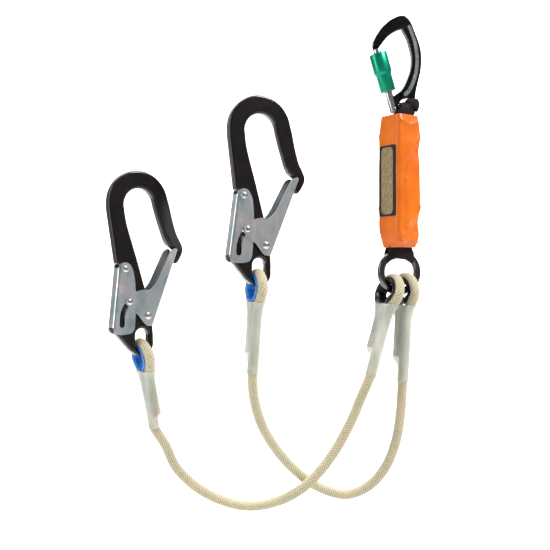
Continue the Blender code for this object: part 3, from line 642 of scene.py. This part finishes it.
def sleeve_rings(tail, doubled, sleeve, grow):
    r = ROPE_D / 2 + grow
    sections = smooth([(-SLEEVE_TOP, 14.4), (-20, 11.6), (-25, 9.2), (-35, PAIR + 0.3), (-48, PAIR)])[:-1]
    sections += [(v, PAIR) for v in (-48, -56, -64) if v > -doubled + 3]
    sections += smooth([(-doubled, PAIR), (-doubled - 4, 2.6), (-doubled - 8, -3.4), (-doubled - 12, -PAIR)])
    sections += [(-(doubled + 12 + (sleeve - doubled - 12) * t), -PAIR) for t in (0.35, 0.7, 1.0)]
    rings = []
    for v, high in sections:
        low = min(-high, -PAIR)
        flare = 0.35 * exp(-(v + SLEEVE_TOP) ** 2 / 12) + 0.2 * exp(-(v + sleeve) ** 2 / 8)
        ring = [*arc(high, 0, r + flare, -90, 90, 12), *arc(low, 0, r + flare, 90, 270, 12)]
        rings.append([(x, tail * u, v) for u, x in ring])
    return rings


def thimble_mesh(spread):
    """A moulded ring with a channel for the rope: the lips are full over the arch and fade at the bottom."""
    outer, inner = ROPE_D / 2 + GAP + THIMBLE_T, ROPE_D / 2 + 0.5
    rings = []
    turns = 56
    for i in range(turns):
        phi = -90 + 360 * i / turns
        below = clamp((-sin(radians(phi)) - 0.02) / 0.98)
        centre = EYE_BEND - 0.25 - 2.5 * sin(pi * min(1.0, below * 1.15)) - 1.1 * below
        foot = clamp((below - 0.62) / 0.3)
        lips = 93 - 55 * foot
        wide = 1.0 + spread * min(1.0, below / 0.25) + 0.3 * foot
        section = []
        for r, sign in ((outer, 1), (inner, -1)):
            for k in range(-9, 10):
                a = radians(sign * lips * k / 9)
                thin = r - (0.55 if r == outer else 0.0) * (abs(k) / 9) ** 3
                channel = -thin * max(0.0, cos(a)) ** (0.42 if r == outer else 0.7)
                section.append((thin * sin(a) * wide, channel if a * a < 2.4 else -thin * cos(a)))
        c, t = cos(radians(phi)), sin(radians(phi))
        rings.append([(x, (centre + r) * c, (centre + r) * t) for x, r in section])
    return loft_mesh([*rings, rings[0]], loop=True)


def tag_mesh(tail, top, bottom):
    """A small card trapped between the ropes and the sleeve, on the side that faces left."""
    rings = []
    for i in range(9):
        v = top + (bottom - top) * i / 8
        wave = 0.08 * sin(i * 1.3)
        rings.append([(x, tail * u, v) for x, u in ((-6.42 - wave, -7.2), (-6.42 - wave, 5.5),
                                                    (-6.66 - wave, 5.5), (-6.66 - wave, -7.2))])
    return loft_mesh(rings)


def whipping_mesh(tail, doubled):
    """Turns of thread round the rope's cut tail."""
    profile = []
    for i in range(9):
        z = i * 0.9
        profile += [(6.42, z), (6.72, z + 0.45)]
    profile += [(6.42, 8.1), (5.6, 8.1), (5.6, 0)]
    mesh = turned_mesh(profile, 36)
    mesh.transform(Matrix.Translation((0, tail * PAIR, 1 - doubled)))
    return mesh


def build_leg(side, leg):
    ends = {}
    for end in ("ring", "hook"):
        eye, prefix = leg[f"{end}_eye"], f"{side}_{end}"
        place = eye_matrix(leg, end)
        tail, doubled, sleeve = eye["tail"], eye["doubled"], eye["sleeve"]
        flat = smooth(eye_line(tail, sleeve, doubled), 6)
        line = [place @ Vector((0, u, v)) for u, v in flat]
        add(f"{prefix}_eye_rope", braided_mesh(line), Matrix(), "absorber", "cream_rope",
            [f"{side}_rope"], sharp=0)
        slot = "blue_plastic" if end == "hook" else "black_plastic"
        thimble = thimble_mesh(RING_EYE_SPREAD if end == "ring" else 0.0)
        add(f"{prefix}_thimble_moulded", thimble, place, "absorber", slot, [f"{prefix}_thimble"], sharp=50)
        shell = loft_mesh(*[sleeve_rings(tail, doubled, sleeve, grow) for grow in (SLEEVE_SKIN, SLEEVE_BORE)])
        add(f"{prefix}_clear_sleeve", shell, place, "absorber", "clear_sleeve", [f"{prefix}_sleeve"],
            sharp=50)
        add(f"{prefix}_tag", tag_mesh(tail, -25, -0.78 * doubled), place, "absorber", "clear_sleeve",
            material="tag_grey")
        add(f"{prefix}_whipping", whipping_mesh(tail, doubled), place, "absorber", "clear_sleeve",
            material="whipping_red")
        ends[end] = [place @ Vector((0, -tail * PAIR, v)) for v in (12 - sleeve, 9.8 - sleeve, -1 - sleeve)]
    # The first and last spans only give the line its heading inside the sleeves
    line = smooth([*[tuple(p) for p in ends["hook"]], *leg["route"],
                   *[tuple(p) for p in reversed(ends["ring"])]], 8)[8:-8]
    path, length = resampled(line, 4.0)
    cord = add(f"{side}_rope_run", braided_mesh(line), Matrix(), "absorber", "cream_rope",
               [f"{side}_rope"], sharp=0)


# ---------------- hooks

def pin_at(turn):
    """Where the latch pin is after the gate has turned by so many degrees."""
    a = radians(turn)
    x, z = LATCH_PIN[0] - GATE_PIVOT[0], LATCH_PIN[1] - GATE_PIVOT[1]
    return (GATE_PIVOT[0] + x * cos(a) - z * sin(a), GATE_PIVOT[1] + x * sin(a) + z * cos(a))


def hook_body_mesh():
    crown_out = [(x + 2.4 * max(0.0, (-5.5 - x) / 43.4), z) for x, z in arc(-5.5, 180.4, 43.4, 178, 14, 40)]
    nose_out = smooth([(36.6, 190.9), (40.4, 178), (44.6, 161), (50.2, 143.5), (55, 134.6), (59.2, 126),
                       (59.4, 119.5), (56.6, 112.4), (52.6, 106), (49.4, 103.4), (44.2, 104.6)])[3:]
    throat = [(49.6, 119.4), (46.4, 122.6), (36.4, 129.2)]
    mouth = [(32.6, 137.6), (24.2, 161), (19.2, 177)]
    crown_in = arc(-3.5, 179.0, 21.5, 18, 196, 30)
    spine_in = smooth([(-24.2, 173.1), (-22.6, 162), (-19, 147.4), (-7.4, 111), (4.4, 71.4),
                       (14.3, 38.4)])[1:]
    lug = arc(*GATE_PIVOT, 9.3, 12, -32, 6)
    rim_top = [(14.9, 24), (16.2, 12)]
    rim = arc(0, 0, 16.6, 8, -122, 26)
    heel = [(-17, -8.2), (-33.8, 11), (-36, 13.6), (-36, 17), (-31.4, 18.8), (-31.4, 29)]
    back = [(-31.4, 60), (-30.4, 92), (-30.6, 99.8),
            *smooth([(-35.6, 103.4), (-36.9, 112), (-38.4, 122), (-43.2, 152), (-46.2, 172)])]
    outline = [*crown_out, *nose_out, *throat, *mouth, *crown_in, *spine_in,
               *lug, *rim_top, *rim, *heel, *back]
    eye = [*arc(0, 0, EYE_R, 180, 360, 20), *arc(0, EYE_RISE, EYE_R, 0, 180, 20)]
    body = plate_mesh([outline, eye], HOOK_T, edge=3.5, edge_steps=5)
    swept = [pin_at(t) for t in range(-2, 37, 2)]
    return cut(body, plate_mesh([swept_slot(swept, RIVET_R + 0.5)], HOOK_T + 4),
               drill(*GATE_PIVOT, BORE_R, -10, 10), drill(*LEVER_PIVOT, BORE_R, -10, 10),
               drill(*GATE_PIVOT, 6.4, -10, -3), drill(*LEVER_PIVOT, 5.4, -10, -3))


def gate_edge(z, inset=0.0):
    """X of the gate's straight outer edge at height z."""
    return 16.1 + (z - 29.9) * GATE_SLOPE - inset


def gate_mesh():
    """Two side plates folded from one sheet: the bend along the outer edge is round."""
    shoulder = smooth([(-21.2, 60.4), (-12.7, 66.5), (-1.2, 69.5), (6.4, 69.2), (10.4, 70.6),
                       (16.1, 76.1)], 4)
    tip = smooth([(16.1, 76.1), (20.9, 84.8), (27.7, 98.7), (37.3, 117.9), (42, 122.6), (46.6, 123.2),
                  (50, 119.8)])[1:]
    foot = smooth([(14, 26.4), (11.6, 23), (7, 22.6), (2.2, 24.6), (-2.2, 29.2), (-8, 36.6)], 4)[:-1]
    corner = [(-8, 36.6), (-22.4, 48.6), *arc(*LATCH_PIN, 5.2, 236, 112, 12)]
    outline = [*corner, *shoulder[:-1], *tip, (gate_edge(112), 112), (gate_edge(28), 28), *foot]
    over = [(x + (4.0 if x > gate_edge(z) - 0.2 and 27 < z < 118 else 0.0), z) for x, z in outline]
    flat = plate_mesh([over], 2 * FLANGE_OUT)
    wedge = [(gate_edge(0), 0), (gate_edge(140), 140), (-70, 140), (-70, 0)]
    fold = plate_mesh([wedge], 2 * FLANGE_OUT, edge=3.4, edge_steps=5)
    web = 1.7
    hollow = [(-40, 0), (60, 0), (60, 32.6), (gate_edge(32.6, web), 32.6), (gate_edge(113, web), 113),
              (80, 113), (80, 140), (-40, 140)]
    mesh = cut(flat, plate_mesh([hollow], 2 * FLANGE_IN), drill(*GATE_PIVOT, BORE_R, -14, 14),
               drill(*LATCH_PIN, BORE_R, -14, 14), within=fold)
    return softened(mesh, 0.35)


def lever_back(z, inset=0.0):
    """X of the lever's back face at height z."""
    return -34.0 - (99.0 - z) * LEVER_SLOPE + inset


def lever_mesh():
    """A sheet folded round the spine's back: a broad bend, two side plates and a curved slot in each."""
    top = smooth([(lever_back(98), 98), (-32.6, 101.8), (-29, 104), (-24.3, 104.6), (-19.6, 102.8),
                  (-16.4, 98.6), (-13.6, 92)], 4)[1:]
    right = smooth([(-13.6, 92), (-11.4, 76), (-10.8, 50), (-11.8, 24), (-13.4, 17.6), (-17.2, 13.8),
                    (-28.1, 12), (-34.6, 12.6), (-39.6, 15.6), (lever_back(21.5), 21.5)], 4)[1:]
    outline = [*top, *right, (lever_back(98), 98)]
    over = [(x - (5.0 if x < lever_back(z) + 0.4 and z < 99 else 0.0), z) for x, z in outline]
    flat = plate_mesh([over], 2 * LEVER_OUT)
    wedge = [(lever_back(130), 130), (40, 130), (40, -10), (lever_back(-10), -10)]
    fold = plate_mesh([wedge], 2 * LEVER_OUT, edge=4.0, edge_steps=6)
    web = 1.6
    hollow = [(lever_back(21.5, web), 21.5), (-60, 21.5), (-60, 0), (20, 0), (20, 120), (-60, 120),
              (-60, 97.5), (lever_back(97.5, web), 97.5)]
    slot = smooth([LATCH_PIN, (-23.8, 49.3), (-26.9, 44), (-29.2, 36.2), (-29.8, 24.6)], 5)
    mesh = cut(flat, plate_mesh([hollow], 2 * LEVER_IN), plate_mesh([swept_slot(slot, RIVET_R + 0.6)], 30),
               drill(*LEVER_PIVOT, BORE_R, -14, 14), within=fold)
    return softened(mesh, 0.35)


def rivet_mesh(length, r, head_r, head_h):
    """A rivet whose heads are domes with a small flat rim."""
    half = length / 2
    dome = [(0, half + head_h)]
    dome += [(head_r * sin(radians(a)), half + 0.25 + (head_h - 0.25) * cos(radians(a)))
             for a in range(12, 91, 13)]
    dome += [(head_r, half + 0.25), (head_r, half), (r, half)]
    return turned_mesh([*dome, *[(x, -z) for x, z in reversed(dome)]], 32)


def coil_mesh(points, wire):
    """A round wire along a line of points."""
    line = [Vector(p) for p in points]
    side = Vector((0, 1, 0))
    rings = []
    for i, p in enumerate(line):
        t = (line[min(i + 1, len(line) - 1)] - line[max(i - 1, 0)]).normalized()
        side = (side - t * side.dot(t)).normalized()
        other = t.cross(side)
        rings.append([tuple(p + wire * (cos(a) * side + sin(a) * other)) for a in turn_angles(8)])
    return loft_mesh(rings)


def helix(r, start, rise, steps):
    """A helix about the third axis, with 24 steps to a turn."""
    return [(r * cos(2 * pi * i / 24), r * sin(2 * pi * i / 24), start + rise * i / steps)
            for i in range(steps + 1)]


def build_hook(side, leg):
    place = unit(leg["hook"], leg["hook_yaw"], leg["hook_tilt"])
    body, gate, lever = f"{side}_hook", f"{side}_hook_gate", f"{side}_hook_lever"
    main = (("forged_hook", "hook_body", hook_body_mesh(), body, "black_enamel", 40),
            ("folded_gate", "hook_gate", gate_mesh(), gate, "zinc_plate", 32),
            ("folded_lever", "hook_lever", lever_mesh(), lever, "zinc_plate", 32))
    for name, cad_name, mesh, rides, slot, sharp in main:
        add(f"{side}_{name}", mesh, place, rides, slot, [f"{side}_{cad_name}"], sharp=sharp, flat=True)
    rivets = (("gate_rivet", GATE_PIVOT, FLANGE_OUT, 4.6, 2.1, body),
              ("lever_rivet", LEVER_PIVOT, LEVER_OUT, 4.3, 1.8, body),
              ("latch_pin", LATCH_PIN, FLANGE_OUT, 4.0, 1.8, gate))
    for name, (x, z), plates, head_r, head_h, rides in rivets:
        mesh = along_y(rivet_mesh(2 * plates + 0.5, RIVET_R, head_r, head_h), x, z)
        add(f"{side}_{name}_domed", mesh, place, rides, "zinc_plate", [f"{side}_{name}"], "rivet_zinc",
            sharp=40)
    for name, (x, z), coil_r in (("gate_spring", GATE_PIVOT, 4.9), ("lever_spring", LEVER_PIVOT, 4.3)):
        points = [(x + u, y, z + v) for u, v, y in helix(coil_r, -6.6, 2.8, 60)]
        add(f"{side}_{name}_coil", coil_mesh(points, 0.5), place, body, "spring_steel", [f"{side}_{name}"])


# ---------------- carabiner

CARABINER_YAW, CARABINER_T = 8, 11.0
TILT_AXIS = (3, -104)
GATE_HINGE, GATE_LEAN, GATE_LENGTH = (-10.3, -104), 16.1, 81.5
SLEEVE_FROM, SLEEVE_TO, LATCH_DROP = 24.0, 75.0, 2.7
HINGE_BORE, LATCH_BORE = 1.9, 1.5


def gate_point(along):
    """A point on the axis of the carabiner's gate, so far from the hinge."""
    lean = radians(GATE_LEAN)
    return GATE_HINGE[0] - along * sin(lean), GATE_HINGE[1] + along * cos(lean)


def lie_on_gate(mesh, along=0.0):
    """Moves a piece that was made about Z from Z = 0 on to the gate's axis."""
    x, z = gate_point(along)
    mesh.transform(Matrix.Translation((x, 0, z)) @ Matrix.Rotation(-radians(GATE_LEAN), 4, "Y"))
    return mesh


def carabiner_mesh():
    crown = arc(0.6, 0.6, 17.2, 118, 76, 12)
    spine = smooth([(8.4, 14.4), (11.2, 11), (14.6, 4.2), (17.8, -4), (22.2, -15.2), (25, -25),
                    (26.1, -33), (26.1, -45), (24.4, -57), (21.6, -68), (18.9, -80), (17.8, -92),
                    (17.6, -103)], 5)
    foot = arc(13.0, -104.0, 4.6, -10, -90, 8)
    hinge = arc(*GATE_HINGE, 4.6, -90, -180, 10)
    heel = smooth([(-15.6, -98), (-15.2, -92), (-11.4, -87.4), (-7.2, -84.2)], 5)
    basket = smooth([(-7.2, -84.2), (-1.2, -80), (3.6, -73.4), (7.9, -64), (11.6, -54), (13.4, -43),
                     (13.2, -33), (10.9, -22.5), (7.6, -12), (3, -3.4)], 5)[1:]
    bearing = [(1.6, -0.8), (1, 0), (-1.4, 0)]
    arm_in = smooth([(-4, -0.9), (-10.6, -4.2), (-18, -9.6), (-23.6, -15.8), (-26.8, -20.4)], 4)
    nose = [(-28.6, -22.9), (-29.4, -23.2), (-29.4, -30.7), (-36.4, -30.7), (-38.2, -23.4)]
    arm_out = smooth([(-37.9, -17.5), (-33.2, -8.4), (-25.6, 2.4), (-15.6, 11.6)], 5)
    outline = [*crown, *spine, *foot, *hinge, *heel, *basket, *bearing, *arm_in, *nose, *arm_out]
    eye_top = smooth([(11.2, -96.6), (11.6, -91.5), (9, -88.9), (3, -90.2), (-1.2, -92.6),
                      (-4, -97.6)], 4)
    eye = [*arc(7.8, -96.6, 3.4, -90, 0, 8), *eye_top[1:-1], *arc(-1.6, -97.6, 2.4, 180, 270, 6)]
    body = plate_mesh([outline, eye], CARABINER_T, edge=1.9)
    fork = [(-20, -110), (-4.2, -110), (-4.2, -99), (-1, -86), (-1, -80), (-20, -80)]
    pin_x, pin_z = gate_point(GATE_LENGTH - LATCH_DROP)
    groove_line = smooth([(10, 3.2), (14.2, -7), (17.6, -17.5), (19.8, -31), (20.2, -44), (18.6, -56),
                          (15.4, -67), (10.4, -78), (4.6, -84.4)], 5)
    groove = swept_slot(groove_line, 2.6)
    tools = [plate_mesh([fork], 6, middle=y) for y in (-5.1, 5.1)]
    tools += [drill(*GATE_HINGE, HINGE_BORE, -8, 8),
              plate_mesh([swept_slot([(pin_x, pin_z), (pin_x + 12, pin_z + 2.6)], LATCH_BORE)], 12)]
    tools += [plate_mesh([box_outline(-44, -24, -23, -36)], 6, middle=y) for y in (-4.4, 4.4)]
    tools += [plate_mesh([groove], 2, middle=y) for y in (-5.7, 5.7)]
    mesh = softened(cut(body, *tools), 0.25)
    mesh.materials.clear()
    mesh.materials.append(MATERIALS["carabiner_grey"])
    mesh.materials.append(MATERIALS["carabiner_groove_painted_reflection"])
    # Faces on the floor of the spine's groove take the pale copy, a painted reflection of the lights.
    for face in mesh.polygons:
        x, y, z = face.center
        if 4 < abs(y) < 5.3 and near_line(x, z, groove_line) < 2.75 and abs(face.normal.y) > 0.3:
            face.material_index = 1
    return mesh


def build_carabiner():
    place = unit((0, 0, 0), CARABINER_YAW)
    add("carabiner_frame", carabiner_mesh(), place, "carabiner", "carabiner_grey", ["carabiner_body"],
        sharp=38, flat=True)
    rod = turned_mesh([(0, GATE_LENGTH), (3.9, GATE_LENGTH), (4.6, GATE_LENGTH - 0.4),
                       (4.9, GATE_LENGTH - 1.1), (4.9, -5.4), (0, -5.4)], 40)
    foot = [*arc(0, 0, 4.6, 0, -180, 20), (-8, 0), (-8, -8), (8, -8), (8, 0)]
    rod = cut(rod, plate_mesh([box_outline(-9, 9, -6, 25)], 4.8), plate_mesh([foot], 20),
              plate_mesh([box_outline(-9, 9, GATE_LENGTH - 9, GATE_LENGTH + 2)], 3.6),
              drill(0, 0, HINGE_BORE, -8, 8), drill(0, GATE_LENGTH - LATCH_DROP, LATCH_BORE, -8, 8))
    add("carabiner_gate_rod", lie_on_gate(softened(rod, 0.2)), place, "carabiner_gate",
        "polished_steel", ["carabiner_gate"])
    hinge = along_y(rivet_mesh(CARABINER_T - 1.0, 1.6, 2.4, 0.6), *GATE_HINGE)
    add("hinge_pin", hinge, place, "carabiner", "polished_steel", ["carabiner_hinge_pin"])
    latch = turned_mesh([(0, 4.5), (0.9, 4.5), (1.25, 4.2), (1.25, -4.2), (0.9, -4.5), (0, -4.5)], 20)
    add("latch_cross_pin", along_y(latch, *gate_point(GATE_LENGTH - LATCH_DROP)), place, "carabiner_gate",
        "spring_steel", ["carabiner_latch_pin"])
    length, bore, chamber, upper, lower = SLEEVE_TO - SLEEVE_FROM, 5.3, 8.0, 11.7, 10.0
    outside = [(bore + 0.8, length), (upper - 1.4, length), (upper - 0.5, length - 0.4),
               (upper, length - 1.4), (upper, length - 25), (upper - 0.5, length - 26.4),
               (lower + 0.2, length - 28.6), (lower, length - 29.4), (lower, 1.2), (lower - 0.4, 0.4),
               (lower - 1.2, 0)]
    inside = [(bore, 0), (bore, 5), (chamber, 5), (chamber, length - 24), (bore, length - 22),
              (bore, length - 0.8)]
    sleeve = lie_on_gate(turned_mesh([*outside, *inside], 56), SLEEVE_FROM)
    add("twist_sleeve", sleeve, place, "locking_sleeve", "green_anodised", ["locking_sleeve"], sharp=28)
    spring = coil_mesh(helix(6.6, 7.5, 18, 96), 0.6)
    add("return_spring", lie_on_gate(spring, SLEEVE_FROM), place, "carabiner_gate",
        "spring_steel", ["sleeve_spring"])


# ---------------- energy absorber and ring

PACK_X, PACK_YAW = -2.0, 36
PACK_TOP, PACK_BOTTOM = -112.5, -283.0
PACK_W, PACK_D, WALL = 42.0, 40.0, 1.3
RING_R, RING_WIRE = 25.0, 4.9
LABEL_MIDDLE = -197.4
FOLD_GAIN = 1.75  # on the heights and depths of the folds below


def near_line(s, z, points):
    """Distance from (s, z) to a line of points."""
    best = 1e9
    for (ax, az), (bx, bz) in zip(points, points[1:]):
        dx, dz = bx - ax, bz - az
        t = clamp(((s - ax) * dx + (z - az) * dz) / (dx * dx + dz * dz))
        best = min(best, hypot(s - ax - dx * t, z - az - dz * t))
    return best


# Folds of the cover's broad face: (line across and up the face, width, height)
RIDGES = [([(18, -231), (9, -247), (-4, -259), (-15, -277)], 3.4, 1.6),
          ([(17, -140), (8, -152), (-4, -176), (-8, -198)], 3.8, 1.1),
          ([(-6, -198), (-7, -216), (-3, -240)], 5.5, 0.9),
          ([(-17, -277), (-2, -273), (15, -277)], 2.6, 1.3),
          ([(-16, -119), (-2, -127), (14, -121)], 3.0, 1.0)]
# Hollows: (across, up, half width, half height, depth)
HOLLOWS = [(10, -262, 9, 7, 2.4), (14, -240, 6, 11, 1.4), (13, -161, 8, 10, 1.7), (-2, -137, 9, 8, 1.3),
           (-10, -258, 6, 9, 1.1), (4, -205, 9, 20, 0.6)]


def broad_face(s, z):
    """How far the broad face stands out at a place on it."""
    out = 0.9 * cos(pi * s / 44)
    for line, width, height in RIDGES:
        out += FOLD_GAIN * height * exp(-(near_line(s, z, line) / width) ** 2)
    for cs, cz, ws, wz, depth in HOLLOWS:
        out -= FOLD_GAIN * depth * exp(-((s - cs) / ws) ** 2 - ((z - cz) / wz) ** 2)
    return out


def rounded_corners(width, height, corner, middle=0.0):
    """The four corner arcs of a rounded rectangle."""
    return [arc(sx * (width / 2 - corner), middle + sz * (height / 2 - corner), corner, start, start + 90, 8)
            for sx, sz, start in ((1, 1, 0), (-1, 1, 90), (-1, -1, 180), (1, -1, 270))]


def cover_ring(z, inset):
    """One station of the cover: a rounded rectangle that is pushed in and out by the folds."""
    top, low = PACK_TOP - z, z - PACK_BOTTOM
    # draw: how far the ends are drawn in; calm: less folding at them; pinch: creases on the near corner
    draw = 5.0 * exp(-(top / 14) ** 1.5) + 9.2 * exp(-(low / 13) ** 1.7)
    w, d = PACK_W - draw - 2 * inset, PACK_D - 0.9 * draw - 2 * inset
    corner = max(2.4, 5.4 - inset)
    calm = min(1.0, top / 9, low / 7)
    pinch = 2.9 * exp(-((z + 252) / 10) ** 2) + 1.7 * exp(-((z + 158) / 12) ** 2)
    found, outline = [], []
    corners = rounded_corners(w, d, corner)
    per_side = 20
    for i, here in enumerate(corners):
        outline += here
        a, b = here[-1], corners[(i + 1) % 4][0]
        outline += [(a[0] + (b[0] - a[0]) * k / per_side, a[1] + (b[1] - a[1]) * k / per_side)
                    for k in range(1, per_side)]
    for x, y in outline:
        size = hypot(x, y)
        nx, ny = x / size, y / size
        front = clamp((-y - d / 2 + 6) / 6)
        rear = clamp((y - d / 2 + 6) / 6)
        left = clamp((-x - w / 2 + 5) / 5)
        right = clamp((x - w / 2 + 5) / 5)
        out_y = -front * broad_face(x, z) + rear * broad_face(-x, z * 0.97 - 6)
        out_x = right * (0.6 * sin(z * 0.11) + 0.8 * sin(z * 0.047 + 1.2) - 0.4)
        out_x -= left * (-0.35 + 0.45 * exp(-((z + 262) / 12) ** 2) - 0.6 * exp(-((z + 132) / 9) ** 2))
        squeeze = pinch * max(0.0, nx * 0.72 - ny * 0.69) ** 6
        found.append((x + calm * (out_x - nx * squeeze), y + calm * (out_y - ny * squeeze), z))
    return found


def cover_mesh():
    stations = [PACK_TOP - (PACK_TOP - PACK_BOTTOM) * i / 120 for i in range(121)]
    lip = [(PACK_TOP, 0.35), *[(z, 0.0) for z in stations[1:-1]], (PACK_BOTTOM, 0.35)]
    outer = [cover_ring(z, inset) for z, inset in lip]
    inner = [cover_ring(z, WALL) for z, _ in lip]
    return loft_mesh(outer, inner)


def edge_on(mesh):
    """Turns a plate drawn in XZ so that it is drawn in YZ."""
    mesh.transform(Matrix.Rotation(pi / 2, 4, "Z"))
    return mesh


def label_plate(width, height, corner, thickness, edge, face):
    """A flat rounded plate on the pack's left face."""
    outline = [p for points in rounded_corners(width, height, corner, LABEL_MIDDLE) for p in points]
    mesh = edge_on(plate_mesh([outline], thickness, edge=edge, edge_steps=2))
    mesh.transform(Matrix.Translation((face, 0, 0)))
    return mesh


def strap_mesh(line, widths, shifts, thickness, ripple, phase):
    """A flat strap swept along a line in YZ; its width lies along X and may change, gather and ripple."""
    rings = []
    across = 15
    for i, (y, z) in enumerate(line):
        a, b = line[max(i - 1, 0)], line[min(i + 1, len(line) - 1)]
        size = hypot(b[0] - a[0], b[1] - a[1])
        ny, nz = -(b[1] - a[1]) / size, (b[0] - a[0]) / size
        width, shift = widths[i], shifts[i]
        upper, lower = [], []
        for k in range(across + 1):
            t = k / across * 2 - 1
            lift = ripple * sin(t * 5.2 + phase + i * 0.07)
            half = thickness / 2 * (1 - 0.55 * max(0.0, abs(t) - 0.86) / 0.14)
            x = shift + t * width / 2
            upper.append((x, y + ny * (lift + half), z + nz * (lift + half)))
            lower.append((x, y + ny * (lift - half), z + nz * (lift - half)))
        rings.append(upper + lower[::-1])
    return loft_mesh(rings)


def upper_loop_mesh(radius, thickness, flare, shift, ripple, phase):
    """A strap that rises through the captive eye, turns over its bar and goes down again. It is gathered in
    the eye, broadens by flare below it, and narrows again inside the cover's mouth."""
    gathered, taper = 11.4, 6.5
    x0, z0 = TILT_AXIS
    down = [(-radius, z0 - 14 + 2.0 * i) for i in range(7)]
    over = [(y, z0 + rise * 0.98) for y, rise in arc(0, 0, radius, 180, 0, 15)]
    line = [*down, *over, *[(-y, z) for y, z in reversed(down)]]
    widths, shifts = [], []
    for y, z in line:
        t = clamp((z0 + 3.5 - z) / 8)
        inside = clamp((z0 - 5.0 - z) / 4)
        widths.append(gathered + flare * t - taper * inside)
        shifts.append(x0 + 1.2 + shift * t)
    return strap_mesh(line, widths, shifts, thickness, ripple, phase)


def wrap_mesh():
    """The tail of the upper strap, wrapped once round the spine's foot through the captive eye."""
    def ring(level, inset):
        found = []
        for a in turn_angles(48):
            right = 0.5 + 0.5 * cos(a)
            top = -90.4 + 1.2 * right + 0.5 * sin(2 * a + 0.6)
            low = -98.6 - 7.4 * right + 0.6 * sin(3 * a)
            puff = 1.9 * sin(pi * level ** 0.8) - 0.9 + 0.35 * sin(3 * a + 5 * level)
            rx, ry = 8.3 - inset + puff, 8.1 - inset + 0.5 * puff
            x = rx * copysign(abs(cos(a)) ** 0.75, cos(a))
            y = ry * copysign(abs(sin(a)) ** 0.75, sin(a))
            found.append((14.6 + x, y, top + (low - top) * level))
        return found

    levels = [0, 0.04, 0.15, 0.3, 0.45, 0.6, 0.75, 0.88, 0.96, 1]
    edge = [0.4, 0.05, 0, 0, 0, 0, 0, 0, 0.05, 0.4]
    return loft_mesh([ring(v, e) for v, e in zip(levels, edge)], [ring(v, 1.6) for v in levels])


def lower_loop_mesh():
    """A broad strap under the top of the ring: it follows the ring's curve, so its low edge is bowed."""
    rings = []
    half, top, reach = 5.3, 43.0, 18.4
    for k in range(29):
        t = k / 14 - 1
        x = reach * t
        sag = RING_R - sqrt(RING_R ** 2 - x * x)
        ripple = 0.30 * sin(5.3 * t + 0.7) + 0.18 * sin(11 * t)
        centre = RING_R - sag - ripple - 0.4
        thick = 1.7 * (1 - 0.5 * max(0.0, abs(t) - 0.9) / 0.1)
        swell = 0.5 * sin(7 * t + 0.4)
        inner = arc(0, centre, half, 180, 360, 15)
        outer = arc(0, centre, half + thick, 360, 180, 15)
        legs = [centre + (top - centre) * j / 6 for j in range(6, 0, -1)]
        section = []
        for sign, out, heights, bend in ((-1, half, legs, inner), (1, half, legs[::-1], []),
                                         (1, half + thick, legs, outer), (-1, half + thick, legs[::-1], [])):
            section += [(sign * (out + swell * (z - centre) / 20), z) for z in heights] + bend
        rings.append([(x * (1 - 0.30 * clamp((z - 25) / 8)), y, z) for y, z in section])
    return loft_mesh(rings)


def ring_mesh():
    rings = []
    for a in turn_angles(120):
        rings.append([((RING_R + RING_WIRE * cos(b)) * cos(a), RING_WIRE * sin(b),
                       (RING_R + RING_WIRE * cos(b)) * sin(a)) for b in turn_angles(28)])
    return loft_mesh([*rings, rings[0]], loop=True)


def build_absorber():
    pack = unit((PACK_X, 0, 0), PACK_YAW)
    cover = add("vinyl_cover", cover_mesh(), pack, "absorber", "orange_vinyl", ["absorber_cover"], sharp=60)
    face = -PACK_W / 2 - 0.55
    border = label_plate(30.0, 91.0, 2.2, 0.8, 0.3, face)
    add("label_border", border, pack, "absorber", "label_tan", ["cover_label"], "label_black")
    plate = label_plate(21.5, 86.0, 6.5, 0.7, 0.25, face - 0.25)
    add("label_plate", plate, pack, "absorber", "label_tan")
    carabiner = unit((0, 0, 0), CARABINER_YAW)
    add("upper_strap_inner", upper_loop_mesh(8.0, 1.1, 12.0, -0.6, 0.25, 0.0), carabiner, "absorber",
        "black_webbing", ["upper_webbing_loop"], sharp=50)
    add("upper_strap_outer", upper_loop_mesh(9.5, 1.5, 12.5, 0.2, 0.4, 1.4), carabiner, "absorber",
        "black_webbing", sharp=50)
    add("strap_wrap", wrap_mesh(), carabiner, "carabiner", "black_webbing", sharp=50)
    ring = unit(RING_CENTRE, RING_YAW)
    add("lower_strap", lower_loop_mesh(), ring, "absorber", "black_webbing", ["lower_webbing_loop"], sharp=50)
    add("round_ring", ring_mesh(), ring, "ring", "dark_steel", ["attachment_ring"])


def finish_cad_nodes():
    """The folded strap inside the cover keeps its solid and takes the woven material."""
    materials = bpy.data.objects["tear_webbing_pack"].data.materials
    materials.clear()
    materials.append(MATERIALS["black_webbing"])


make_camera()
make_stage()
make_materials()
for leg_side, leg_facts in LEGS.items():
    build_leg(leg_side, leg_facts)
for leg_side, leg_facts in LEGS.items():
    build_hook(leg_side, leg_facts)
build_carabiner()
build_absorber()
finish_cad_nodes()
